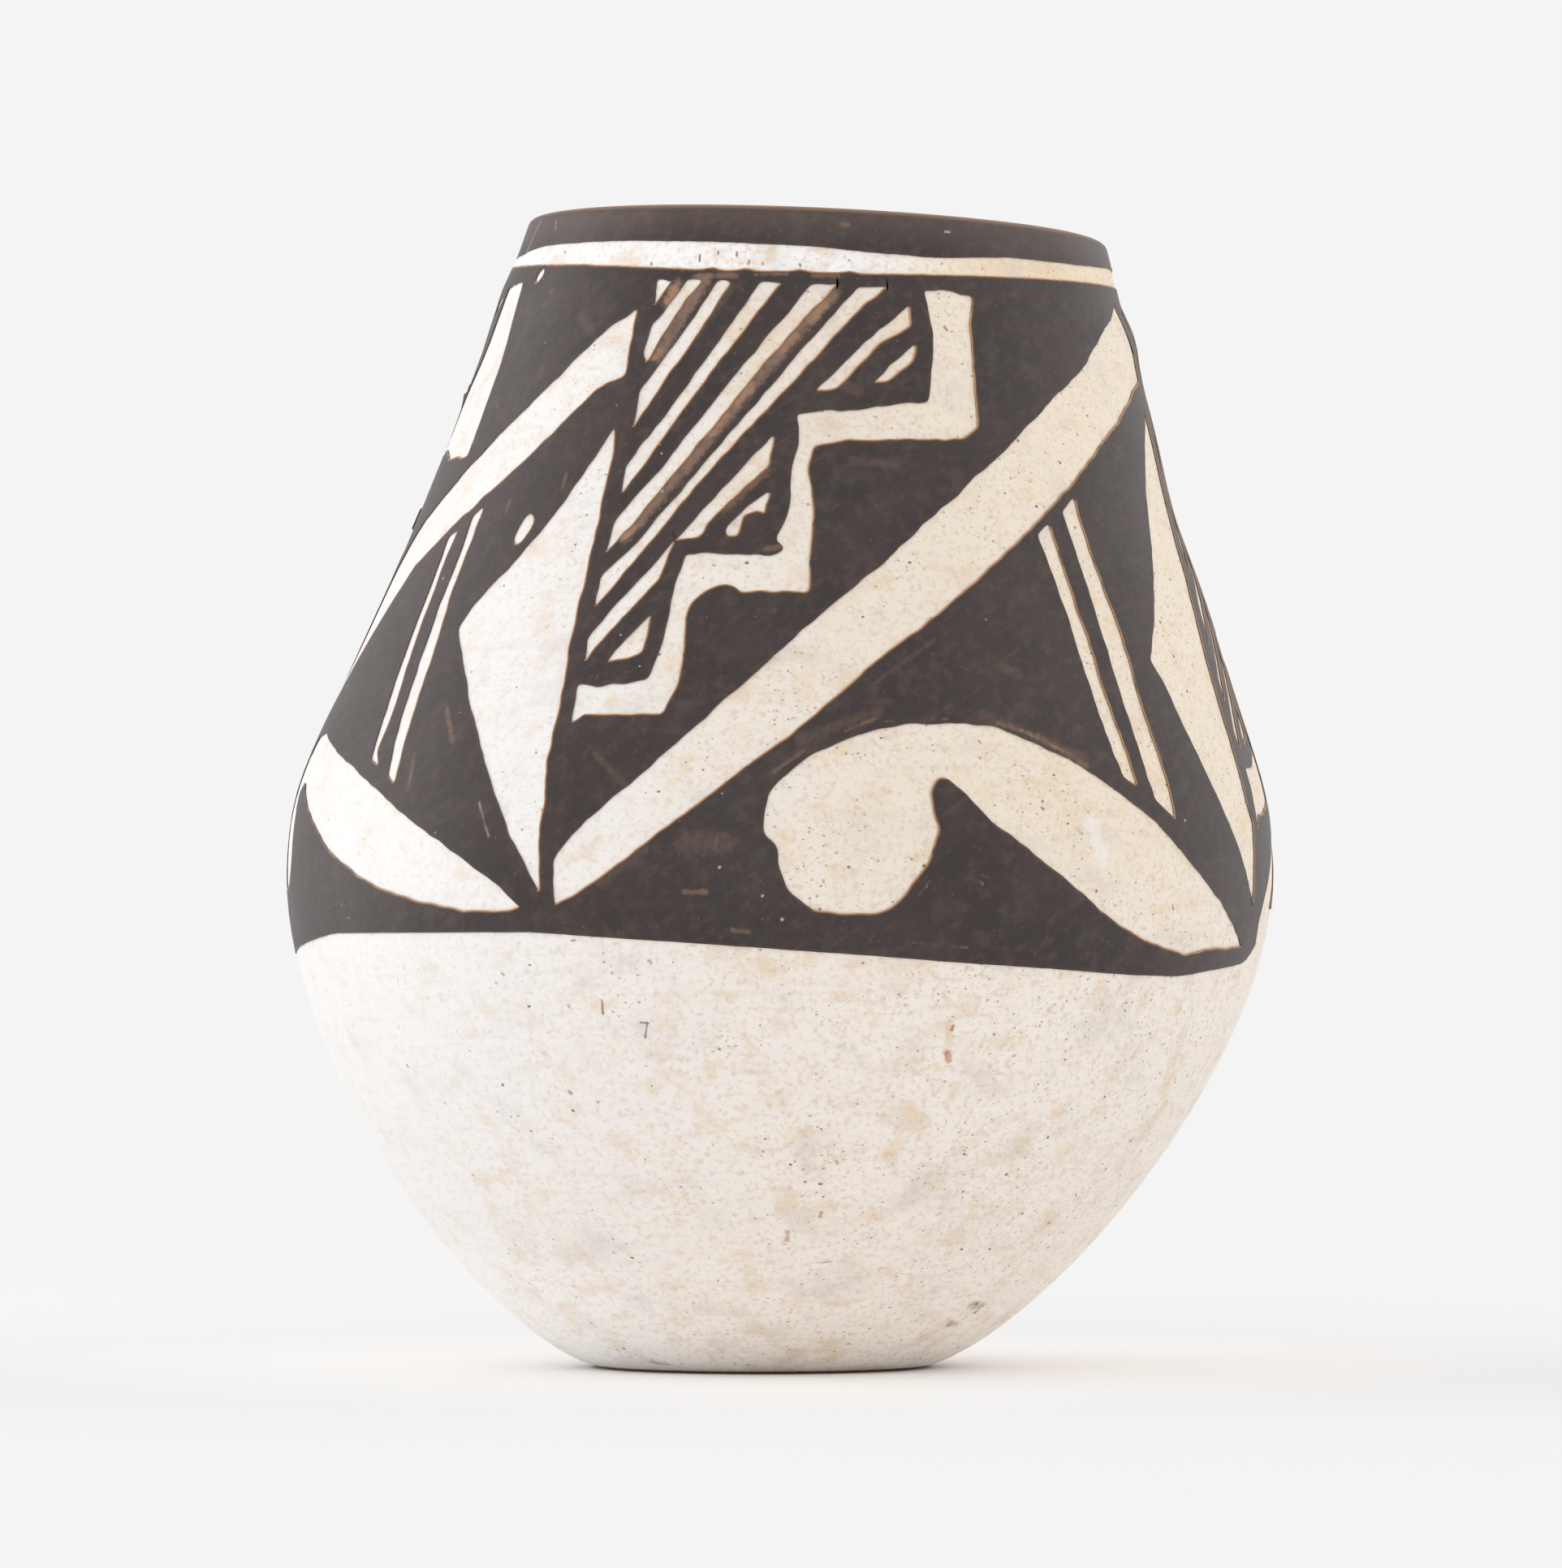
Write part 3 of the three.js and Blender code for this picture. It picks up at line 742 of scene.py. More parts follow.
# %% Draw a shape with a brush's unsteadiness
MM_PER_DEGREE = 0.47  # round the jar, about the middle of the field
OUTLINE_STEP = 0.22  # mm between the points of an outline
EDGE_SHAKE = 0.022  # mm that an edge typically strays to each side


def drawn(strokes, seed):
    """The closed outline of a shape, in (angle, height), with even short steps and an unsteady edge."""
    flat_strokes = [[(angle * MM_PER_DEGREE, height) for angle, height in stroke] for stroke in strokes]
    corners = [point for stroke in flat_strokes for point in brush_line(stroke)]
    loop = np.array(corners + corners[:1])
    reaches = reaches_along(loop)
    count = max(12, round(reaches[-1] / OUTLINE_STEP))
    even = np.linspace(0, reaches[-1], count, endpoint=False)
    loop = np.stack((np.interp(even, reaches, loop[:, 0]), np.interp(even, reaches, loop[:, 1])), axis=1)
    rng = np.random.default_rng(seed)
    shake = np.zeros(count)
    for wavelength in (3.5, 1.4, 0.8):
        smooth = np.hanning(max(3, round(wavelength / OUTLINE_STEP)) + 2)
        rough = np.tile(rng.normal(0, 1, count), 3)
        shake += np.convolve(rough, smooth / np.sqrt((smooth**2).sum()), mode="same")[count : 2 * count]
    along = np.roll(loop, -1, axis=0) - np.roll(loop, 1, axis=0)
    across = np.stack((along[:, 1], -along[:, 0]), axis=1) / np.hypot(*along.T)[:, None].clip(1e-6)
    loop += across * (EDGE_SHAKE * shake)[:, None]
    loop = (np.roll(loop, -1, axis=0) + 2 * loop + np.roll(loop, 1, axis=0)) / 4
    return loop / (MM_PER_DEGREE, 1)


outlines = [drawn(strokes, seed) for seed, strokes in enumerate(FRONT_SHAPES.values())]
for panel in (1, 2, 3):
    for seed, (name, strokes) in enumerate(FRONT_SHAPES.items(), 100 * panel):
        if panel == 3 and name in LEFT_SHAPES:
            strokes = LEFT_SHAPES[name]
        else:
            strokes = [[in_panel(panel, angle, height) for angle, height in stroke] for stroke in strokes]
        outlines.append(drawn(strokes, seed))
for seed, stroke in enumerate(MISSED_SPOTS, 400):
    outlines.append(drawn([stroke], seed))
print("bare shapes:", len(outlines), "with", sum(map(len, outlines)), "points")

# %% Cut the shapes out of the coat
CUTTER_WAY = 2.5  # mm inside and outside the paint
CUTTER_SPACING = 6  # degrees or mm between the lines that cross a flat shape, so that it can bend


def cutters(outlines):
    """One mesh of upright wedges, one for each outline, that pass through the paint from inside the wall."""
    bm = bmesh.new()
    for outline in outlines:
        bm.faces.new([bm.verts.new((angle, height, 0)) for angle, height in outline])
    for axis, across in enumerate(((1, 0, 0), (0, 1, 0))):
        places = [vert.co[axis] for vert in bm.verts]
        for place in np.arange(min(places) + 1, max(places), CUTTER_SPACING):
            everything = bm.verts[:] + bm.edges[:] + bm.faces[:]
            bmesh.ops.bisect_plane(bm, geom=everything, plane_co=Vector(across) * place, plane_no=across)
    flat = bm.faces[:]
    grown = bmesh.ops.extrude_face_region(bm, geom=flat)["geom"]
    for vert in (item for item in grown if isinstance(item, bmesh.types.BMVert)):
        vert.co.z = 1
    bmesh.ops.recalc_face_normals(bm, faces=bm.faces)
    mesh = mesh_from("cutters", bm)
    angle, height, side = points_of(mesh) * MM
    radius = wall.at(reach_at(height))[0] + CUTTER_WAY * (2 * side - 1)
    place_round(mesh, np.radians(angle), radius, height)
    return mesh


def cut_out(mesh, cutter_mesh):
    """What is left of one closed mesh when another is taken out of it."""
    body, cutter = (bpy.data.objects.new(part.name, part) for part in (mesh, cutter_mesh))
    for item in (body, cutter):
        bpy.context.scene.collection.objects.link(item)
    boolean = body.modifiers.new("shapes", "BOOLEAN")
    boolean.operation = "DIFFERENCE"
    boolean.solver = "MANIFOLD"
    boolean.object = cutter
    graph = bpy.context.evaluated_depsgraph_get()
    left = bpy.data.meshes.new_from_object(body.evaluated_get(graph))
    left.materials.clear()
    for item in (body, cutter):
        bpy.data.objects.remove(item)
    return left


cutter_mesh = cutters(outlines)
print("cutters:", len(cutter_mesh.polygons), "faces")
field_mesh = cut_out(field_mesh, cutter_mesh)
print("field after cutting:", len(field_mesh.polygons), "faces")

# %% [markdown]
# ## The thin edges of the paint
# Paint is thinnest along its edges and fires brown there. A border is inset along every edge of the coats,
# and an attribute on its points says how thin the paint is, which the finish reads. The cut leaves points
# of the coat so near to the edges that the border would fold over them, so they are first moved out of its
# way, and lines between them that pass too near are taken out. The cut also leaves long faces that would
# shade unevenly, so the field takes its shading from the smooth slip under it.

# %% Mark where the paint runs thin, along its edges
THIN_EDGE = 0.2  # mm
NEAREST_POINTS = 0.02  # mm, below which two points of the cut coat become one
POINTS_CLEAR = 0.28  # mm from an edge to the points inside it
LINES_CLEAR = 0.24  # mm from an edge to the lines between such points
LINE_PARTS = 12  # a line is measured where it is divided into this many parts
LEAST_THIN = 0.25  # what "thin" is along the edges that don't face up and to the left
FACES_OUT = 0.5  # least cosine between a face's normal and the way out of the wall


def away_from_wall(place):
    """The direction out of the clay at a place on the outside, on the lip or inside the mouth."""
    level = Vector((place.x, place.y, 0)).normalized()
    radius, height = Vector((place.x, place.y)).length / MM - lip_middle[0], place.z / MM - lip_middle[1]
    if height > 0:
        return (level * radius + Vector((0, 0, height))).normalized()
    return level if radius > 0 else -level


def outer_faces(bm):
    """The faces of a paint coat that look away from the wall."""
    return {
        face for face in bm.faces if face.normal.dot(away_from_wall(face.calc_center_median())) > FACES_OUT
    }


def clear_the_edges(bm, inside, on_edge):
    """Moves points of the coat away from its edges, and takes out lines between them that pass too near."""
    edge_points = KDTree(len(on_edge))
    for number, vert in enumerate(on_edge):
        edge_points.insert(vert.co, number)
    edge_points.balance()
    for _ in range(3):
        for vert in inside:
            nearest, _, distance = edge_points.find(vert.co)
            if distance < POINTS_CLEAR * MM:
                vert.co += (vert.co - nearest).normalized() * (POINTS_CLEAR * MM - distance)
    is_inside = set(inside)
    crowded = []
    for edge in bm.edges:
        start, end = edge.verts
        if start in is_inside and end in is_inside:
            along = [start.co.lerp(end.co, part / LINE_PARTS) for part in range(1, LINE_PARTS)]
            if min(edge_points.find(place)[2] for place in along) < LINES_CLEAR * MM:
                crowded.append(edge)
    bmesh.ops.dissolve_edges(bm, edges=crowded)
    print("lines near the edges taken out:", len(crowded))


def mark_thin_edges(mesh):
    """Borders the face of a paint coat. The "thin" attribute is 0 inside it and more than 0 along its edges.

    It is 1 along edges that face up and to the left of a viewer.
    """
    bm = bmesh.new()
    bm.from_mesh(mesh)
    bmesh.ops.remove_doubles(bm, verts=bm.verts, dist=NEAREST_POINTS * MM)
    face_of_coat = outer_faces(bm)
    inside = [vert for vert in bm.verts if face_of_coat.issuperset(vert.link_faces)]
    on_face = [vert for vert in bm.verts if not face_of_coat.isdisjoint(vert.link_faces)]
    on_edge = [vert for vert in on_face if not face_of_coat.issuperset(vert.link_faces)]
    clear_the_edges(bm, inside, on_edge)
    face_of_coat = outer_faces(bm)
    border = bmesh.ops.inset_region(
        bm, faces=list(face_of_coat), thickness=THIN_EDGE * MM, use_boundary=True, use_even_offset=False
    )
    face_of_coat.update(border["faces"])
    thin = bm.verts.layers.float.new("thin")
    for vert in bm.verts:
        beside = [face.normal for face in vert.link_faces if face not in face_of_coat]
        if beside and len(beside) < len(vert.link_faces):
            leftward = Vector((vert.co.y, -vert.co.x, 0)).normalized()
            up_and_left = (leftward + Vector((0, 0, 1))).normalized()
            towards = sum(beside, Vector()).normalized().dot(up_and_left)
            vert[thin] = LEAST_THIN + (1 - LEAST_THIN) * max(0, min(1, 2 * towards))
    bm.to_mesh(mesh)
    bm.free()
    print(f"{mesh.name}: {len(border['faces'])} faces along the edges")


mark_thin_edges(band_mesh)
band = finished("lip_band", band_mesh, "black_paint", "lip_paint")
mark_thin_edges(field_mesh)
field = finished("painted_panels", field_mesh, "black_paint", "painted_field")


# %% Let the field shade as smoothly as the slip that it lies on
FOLLOWS = 0.7  # least cosine between a face's normal and the smooth one under it


def shade_like(mesh, smooth):
    """Gives the faces of a cut coat the normals of the smooth mesh under them. Its walls keep their own."""
    points = [vert.co for vert in smooth.vertices]
    tree = BVHTree.FromPolygons(points, [face.vertices for face in smooth.polygons])
    under = []
    for vert in mesh.vertices:
        place, _, number, _ = tree.find_nearest(vert.co)
        corners = [smooth.vertices[i] for i in smooth.polygons[number].vertices]
        shares = poly_3d_calc([corner.co for corner in corners], place)
        mixed = sum((corner.normal * share for corner, share in zip(corners, shares)), Vector())
        under.append(mixed.normalized())
    normals = [corner.vector.copy() for corner in mesh.corner_normals]
    followed = 0
    for face in mesh.polygons:
        if face.normal.dot(under[face.vertices[0]]) > FOLLOWS:
            followed += 1
            for corner in face.loop_indices:
                normals[corner] = under[mesh.loops[corner].vertex_index]
    mesh.normals_split_custom_set(normals)
    print(f"{mesh.name}: {followed} faces shade like {smooth.name}")


shade_like(field.data, slip.data)

# %% [markdown]
# ## Helpers for the finishes
# A finish is a small graph of nodes. One helper adds a node and fills or joins its sockets by name, so each
# finish reads as a short list. Colours are written as a painter would read them off a picture, from 0 to
# 255.

# %% Helpers
def colour(red, green, blue):
    """A colour read off a picture, as the light it stands for."""
    shares = [value / 255 for value in (red, green, blue)]
    return (*(((s + 0.055) / 1.055) ** 2.4 if s > 0.04 else s / 12.92 for s in shares), 1)


def add(tree, kind, sockets=None, **settings):
    """Adds a node. A socket takes a value, or another node's output to join to."""
    node = tree.nodes.new(kind)
    for name, value in settings.items():
        setattr(node, name, value)
    for key, value in (sockets or {}).items():
        if isinstance(value, bpy.types.NodeSocket):
            tree.links.new(value, node.inputs[key])
        else:
            node.inputs[key].default_value = value
    return node


def sum_up(tree, operation, first, second=0.0, third=0.0):
    return add(tree, "ShaderNodeMath", {0: first, 1: second, 2: third}, operation=operation).outputs[0]


def times(tree, first, second):
    return sum_up(tree, "MULTIPLY", first, second)


def vector_step(tree, operation, first, second=(0, 0, 0), third=(0, 0, 0)):
    return add(tree, "ShaderNodeVectorMath", {0: first, 1: second, 2: third}, operation=operation)


def blend(tree, share, first, second):
    """One colour laid over another by a share from 0 to 1. Sockets 6 and 7 are a Mix node's two colours."""
    return add(tree, "ShaderNodeMix", {"Factor": share, 6: first, 7: second}, data_type="RGBA").outputs[2]


def rising(tree, value, low, high, top=1.0):
    """0 below low, top above high and a soft rise between. With low above high it falls instead."""
    sockets = {"Value": value, "From Min": low, "From Max": high, "To Min": 0.0, "To Max": top}
    return add(tree, "ShaderNodeMapRange", sockets, interpolation_type="SMOOTHSTEP").outputs[0]


def cloud(tree, place, size, detail=3.0, stretch=(1, 1, 1), turn=(0, 0, 0)):
    """Soft noise from 0 to 1 with features of a size in mm, longer along an axis with a stretch above 1."""
    scale = tuple(1 / (size * MM * along) for along in stretch)
    rotation = tuple(math.radians(angle) for angle in turn)
    mapped = add(tree, "ShaderNodeMapping", {"Vector": place, "Rotation": rotation, "Scale": (1, 1, 1)})
    scaled = vector_step(tree, "MULTIPLY", mapped.outputs[0], scale).outputs[0]
    sockets = {"Vector": scaled, "Scale": 1.0, "Detail": detail, "Roughness": 0.6}
    return add(tree, "ShaderNodeTexNoise", sockets).outputs["Fac"]


def group(name, inputs, outputs):
    """A node group with named sockets. Returns its tree, its input node's outputs and its output node."""
    tree = bpy.data.node_groups.new(name, "ShaderNodeTree")
    for in_out, sockets in (("INPUT", inputs), ("OUTPUT", outputs)):
        for label, kind in sockets.items():
            tree.interface.new_socket(label, in_out=in_out, socket_type=f"NodeSocket{kind}")
    return tree, add(tree, "NodeGroupInput").outputs, add(tree, "NodeGroupOutput")


# %% [markdown]
# ## Marks that more than one finish needs
# Fired ware is never one colour. Two marks come back in the slip, the paint and the clay: grains, which are
# bits of crushed sherd and grit that show as specks, and stains, which are places where the paint ran thin,
# rust touched the slip or a finger smudged it. A stain is a soft streak between two places on the jar. Its
# edge is made ragged by one noise that all the stains of a finish share.

# %% Grains
GRAIN_SHAKE = 0.12  # mm that noise moves a place by, so that grains aren't round
SHAKES_PER_MM = 9.0
GRAINS, given, result = group(
    "grains",
    {"Place": "Vector", "Cell mm": "Float", "Share": "Float", "Size": "Float", "Length": "Float"},
    {"Mask": "Float"},
)
per_mm = sum_up(GRAINS, "DIVIDE", 1 / MM, given["Cell mm"])
shakes = {"Vector": given["Place"], "Scale": SHAKES_PER_MM / MM, "Detail": 1.0}
rough = add(GRAINS, "ShaderNodeTexNoise", shakes)
moved = vector_step(GRAINS, "SUBTRACT", rough.outputs["Color"], (0.5, 0.5, 0.5)).outputs[0]
shaken = vector_step(GRAINS, "MULTIPLY_ADD", moved, (GRAIN_SHAKE * MM,) * 3, given["Place"]).outputs[0]
squeeze = add(GRAINS, "ShaderNodeCombineXYZ", {"X": 1.0, "Y": 1.0, "Z": given["Length"]}).outputs[0]
squeezed = vector_step(GRAINS, "MULTIPLY", shaken, squeeze).outputs[0]
cells = add(GRAINS, "ShaderNodeTexVoronoi", {"Vector": squeezed, "Scale": per_mm, "Randomness": 1.0})
chance = add(GRAINS, "ShaderNodeSeparateColor", {"Color": cells.outputs["Color"]})
chosen = sum_up(GRAINS, "LESS_THAN", chance.outputs[0], given["Share"])
grain_size = times(GRAINS, sum_up(GRAINS, "ADD", chance.outputs[1], 0.3), given["Size"])
core = times(GRAINS, grain_size, 0.55)
spot = rising(GRAINS, cells.outputs["Distance"], grain_size, core)
GRAINS.links.new(times(GRAINS, chosen, spot), result.inputs["Mask"])


def grains(tree, place, cell, share, size=0.3, length=1.0):
    """Specks of grit: one in some cells of that many mm, by share. Length above 1 lays them flat."""
    sockets = {"Place": place, "Cell mm": cell, "Share": share, "Size": size, "Length": length}
    return add(tree, "ShaderNodeGroup", sockets, node_tree=GRAINS).outputs["Mask"]


# %% Stains
STAIN, given, result = group(
    "stain",
    {"Place": "Vector", "Wobble": "Float", "From": "Vector", "To": "Vector", "Width mm": "Float"},
    {"Mask": "Float"},
)
way = vector_step(STAIN, "SUBTRACT", given["To"], given["From"]).outputs[0]
reached = vector_step(STAIN, "SUBTRACT", given["Place"], given["From"]).outputs[0]
way_squared = sum_up(STAIN, "ADD", vector_step(STAIN, "DOT_PRODUCT", way, way).outputs["Value"], 1e-12)
along = vector_step(STAIN, "DOT_PRODUCT", reached, way).outputs["Value"]
share = add(STAIN, "ShaderNodeClamp", {0: sum_up(STAIN, "DIVIDE", along, way_squared)}).outputs[0]
nearest = add(STAIN, "ShaderNodeVectorMath", {0: way, "Scale": share}, operation="SCALE").outputs[0]
distance = vector_step(STAIN, "DISTANCE", reached, nearest).outputs["Value"]
in_widths = sum_up(STAIN, "DIVIDE", distance, times(STAIN, given["Width mm"], MM))
ragged = sum_up(STAIN, "ADD", in_widths, given["Wobble"])
STAIN.links.new(rising(STAIN, ragged, 1.1, 0.25), result.inputs["Mask"])


def streaked(tree, place, wobble, streaks):
    """A mask of streaks.

    A streak is two places, each an angle round the jar and a height, and how many mm it reaches to each side.
    """
    mask = None
    for start, end, width in streaks:
        ends = {"From": on_jar(*start), "To": on_jar(*end)}
        sockets = {"Place": place, "Wobble": wobble, "Width mm": width, **ends}
        streak = add(tree, "ShaderNodeGroup", sockets, node_tree=STAIN).outputs["Mask"]
        mask = streak if mask is None else sum_up(tree, "MAXIMUM", mask, streak)
    return mask


def edge_wobble(tree, place):
    """The noise that makes the edges of streaks ragged."""
    return times(tree, sum_up(tree, "SUBTRACT", cloud(tree, place, 0.4, 4.0), 0.5), 1.5)


def stained(tree, place, tone, marks):
    """Lays marks over a tone. A mark is its colour, its strength and its streaks."""
    wobble = edge_wobble(tree, place)
    patchy = sum_up(tree, "ADD", rising(tree, cloud(tree, place, 0.6, 4.0), 0.3, 0.6, 0.4), 0.6)
    for tint, strength, streaks in marks:
        cover = times(tree, streaked(tree, place, wobble, streaks), strength)
        tone = blend(tree, times(tree, cover, patchy), tone, colour(*tint))
    return tone


def material(name):
    made = bpy.data.materials.new(name)
    made.use_nodes = True
    made.node_tree.nodes.clear()
    return made, made.node_tree


def shade(tree, base, roughness, height, bump_mm, specular):
    """The one shader of a fired surface, with its grain as bump."""
    bump = add(tree, "ShaderNodeBump", {"Height": height, "Distance": bump_mm * MM, "Strength": 1.0})
    given = {"Base Color": base, "Roughness": roughness, "Specular IOR Level": specular}
    shader = add(tree, "ShaderNodeBsdfPrincipled", {**given, "Normal": bump.outputs[0]})
    add(tree, "ShaderNodeOutputMaterial", {"Surface": shader.outputs[0]})


# %% [markdown]
# ## The finish of the slip
# Kaolin slip fires to a warm white. The polishing stone went round the jar, so its strokes lie level. Grit
# shows through it as dark specks, small ochre clouds are iron in the clay, and the slip is yellower on the
# right and on the upper half. Part of the tone is painted light: the slip is whiter and cooler on the left,
# where the left lamp falls, its clouds and mottle are fainter there as if washed out by that lamp, and it is
# paler near the foot, as if lit from the floor. Noise strews the specks and the clouds, and height and side
# set the tone. Where the grit lies thickest, and where rust, smudges and scuffs are, is set by streaks at the
# places where the jar has them.

# %% Marks on the slip
RUST_HALO = (222, 196, 166)
RUST = (172, 96, 44)
OCHRE_SMUDGE = (218, 198, 160)
SCUFF = (158, 132, 106)
DARK_SCUFF = (96, 78, 62)
BROWN_SPECK = (168, 120, 82)
GREY_SPECK = (138, 124, 100)
PINK_SMUDGE = (234, 212, 192)
ORANGE_SPOT = (214, 150, 92)
BARE_WHITE = (240, 234, 230)
BUFF_SMUDGE = (226, 196, 164)
PAINT_DROP = (150, 96, 64)
DARK_GRIT = (84, 74, 64)
SLIP_MARKS = [
    (RUST_HALO, 0.6, [((23.4, 17.0), (23.6, 17.6), 0.45), ((20.8, 21.3), (21.6, 19.6), 0.34)]),
    (RUST, 0.85, [((21.5, 19.5), (21.7, 19.1), 0.3), ((21.5, 21.1), (21.4, 20.9), 0.15)]),
    (OCHRE_SMUDGE, 0.6, [((56.9, 22.0), (56.2, 22.3), 0.5)]),
    (SCUFF, 0.6, [
        ((49, 4.2), (53, 4.1), 0.5), ((47, 3.1), (50, 3.0), 0.35), ((-34, 0.7), (-30, 0.6), 0.4),
    ]),
    (DARK_SCUFF, 0.7, [
        ((50, 4.3), (50.5, 4.2), 0.17), ((52.5, 3.7), (53, 3.8), 0.14), ((47.5, 2.9), (48, 3), 0.13),
    ]),
    (BROWN_SPECK, 0.65, [
        ((3.2, 8.9), (3.3, 8.4), 0.2), ((9.2, 13.1), (9.4, 13.0), 0.16), ((8.2, 10.1), (8.1, 9.8), 0.14),
        ((9.7, 7.0), (11.5, 7.1), 0.1),
    ]),
    (GREY_SPECK, 0.75, [
        ((-27, 17.2), (-26.8, 17.1), 0.17), ((-33.6, 24.2), (-33.4, 24.1), 0.13),
        ((-25.2, 22.3), (-25.1, 22.2), 0.14), ((-14.9, 24.9), (-14.7, 24.8), 0.16),
        ((-48.6, 16.5), (-48.5, 16.4), 0.1), ((-53.8, 18.7), (-53.7, 18.6), 0.1),
    ]),
    (PINK_SMUDGE, 0.5, [
        ((-54.5, 23.9), (-54.3, 23.7), 0.3), ((-38.7, 21.5), (-38.5, 21.5), 0.25),
        ((-48, 4.1), (-44, 4.2), 0.5), ((-39.1, 14.1), (-38.6, 14.3), 0.25),
        ((-20.6, 22.3), (-19.2, 22.5), 0.35),
    ]),
    (ORANGE_SPOT, 0.6, [((35.3, 32.7), (35.6, 32.5), 0.18), ((37, 31.6), (37.2, 31.5), 0.12)]),
    (BARE_WHITE, 0.8, [((37.4, 33), (38.8, 31), 0.8)]),
    (BUFF_SMUDGE, 0.35, [
        ((-16, 66.6), (-9, 66.5), 0.25), ((33, 67), (52, 67.3), 0.4), ((44, 37), (50, 35.4), 0.7),
    ]),
    (PAINT_DROP, 0.85, [
        ((-18.2, 67.1), (-18.1, 67), 0.1), ((-14.6, 67.1), (-14.5, 66.9), 0.1),
        ((-11.9, 66.6), (-11.8, 66.4), 0.13), ((-9.3, 66.5), (-9.2, 66.4), 0.1),
        ((-20.9, 22.6), (-20.9, 21.8), 0.1), ((23.3, 37.8), (23.5, 37.7), 0.12),
        ((23.8, 62.7), (24.1, 62.5), 0.12), ((50.6, 28.2), (50.8, 28), 0.12),
        ((-24.1, 26.1), (-23.6, 26.1), 0.1),
    ]),
    (DARK_GRIT, 0.85, [
        ((-31, 66.45), (-30.9, 66.35), 0.1), ((-21.6, 66.95), (-21.3, 66.55), 0.09),
        ((-2.5, 66.45), (-2.3, 66.35), 0.1), ((-15.5, 21.3), (-15.9, 20.4), 0.09),
        ((-16.3, 21.3), (-15.3, 21.25), 0.08), ((30.6, 33.9), (30.8, 33.8), 0.11),
    ]),
]
GRIT_DRIFTS = [
    ((30.5, 34), (35, 32.6), 1.1), ((46.5, 34.6), (50, 30), 0.9), ((23.5, 61), (24, 64.8), 0.9),
    ((6, 37), (12, 35.5), 0.8), ((66, 61.8), (73, 62), 1.0), ((52, 58), (60, 60), 0.9),
    ((-21, 24.5), (-15, 19.5), 1.6), ((18, 23.5), (30, 22.5), 1.2), ((40, 12), (46, 9), 2.0),
    ((-30, 66.6), (0, 66.7), 0.35), ((0, 14), (8, 12), 1.8), ((-36, 40), (-33, 46), 0.6),
]

# %% The slip's finish
slip_material, tree = material("polished_white_slip")
place = add(tree, "ShaderNodeTexCoord").outputs["Object"]
apart = add(tree, "ShaderNodeSeparateXYZ", {0: place}).outputs
broad = cloud(tree, place, 9)
to_right = sum_up(tree, "MULTIPLY_ADD", broad, 16 * MM, apart["X"])
height = apart["Z"]


def across(place, left, right, left_tint, right_tint):
    """A tone that changes from left to right between two places in mm."""
    left_tint = left_tint if isinstance(left_tint, bpy.types.NodeSocket) else colour(*left_tint)
    return blend(tree, rising(tree, place, left * MM, right * MM), left_tint, colour(*right_tint))


# Painted light: the tones below are whiter and cooler towards the left, where the left lamp's light falls.
lower = across(to_right, -22, 14, (242, 242, 242), (243, 235, 227))
upper_left = across(to_right, -9, 15, (243, 241, 240), (237, 227, 214))
upper = across(to_right, 8, 30, upper_left, (236, 223, 204))
white_line = across(apart["X"], 4, 15, (251, 250, 250), (238, 219, 192))
# Painted light: the slip is paler near the foot, a painted light thrown up from the floor.
painted_floor_bounce = across(apart["X"], -12, 2, (255, 253, 251), (253, 244, 236))
tone = blend(tree, rising(tree, height, 20 * MM, 34 * MM), lower, upper)
tone = blend(tree, rising(tree, height, 64.9 * MM, 65.7 * MM), tone, white_line)
tone = blend(tree, rising(tree, height, 10 * MM, 2 * MM, 0.85), tone, painted_floor_bounce)
# Painted light: the clouds and mottle below are fainter towards the left, painted as washed out by the bright
# left lamp.
out_of_left_glare = rising(tree, to_right, -22 * MM, 12 * MM)
iron = cloud(tree, place, 1.8, 5.0, stretch=(1.3, 1.3, 1))
ash = cloud(tree, place, 3.2, 4.0)
mottle = cloud(tree, place, 0.35, 4.0)
streak = cloud(tree, place, 0.4, 3.0, stretch=(7, 7, 1))
for noise, low, high, least, more, tint in (
    (iron, 0.5, 0.72, 0.25, 0.45, (230, 206, 172)),
    (ash, 0.5, 0.75, 0.15, 0.4, (212, 203, 196)),
    (mottle, 0.48, 0.7, 0.15, 0.45, (212, 192, 174)),
    (streak, 0.5, 0.75, 0.15, 0.15, (212, 200, 190)),
):
    strength = sum_up(tree, "MULTIPLY_ADD", out_of_left_glare, more, least)
    tone = blend(tree, times(tree, rising(tree, noise, low, high), strength), tone, colour(*tint))
drifted = streaked(tree, place, edge_wobble(tree, place), GRIT_DRIFTS)
drift = sum_up(tree, "MULTIPLY_ADD", apart["X"], 6.0, cloud(tree, place, 3.5, 3.0))
drift = sum_up(tree, "MULTIPLY_ADD", drifted, 0.16, drift)
dust = grains(tree, place, 0.22, rising(tree, drift, 0.42, 0.66, 0.6), 0.3, 1.3)
fine = grains(tree, place, 0.4, rising(tree, drift, 0.42, 0.7, 0.6), 0.26, 1.3)
coarse = grains(tree, place, 0.85, rising(tree, drift, 0.38, 0.75, 0.45), 0.15, 1.3)
ochre = grains(tree, place, 0.8, rising(tree, cloud(tree, place, 3.0, 2.0), 0.45, 0.65, 0.5), 0.24, 1.3)
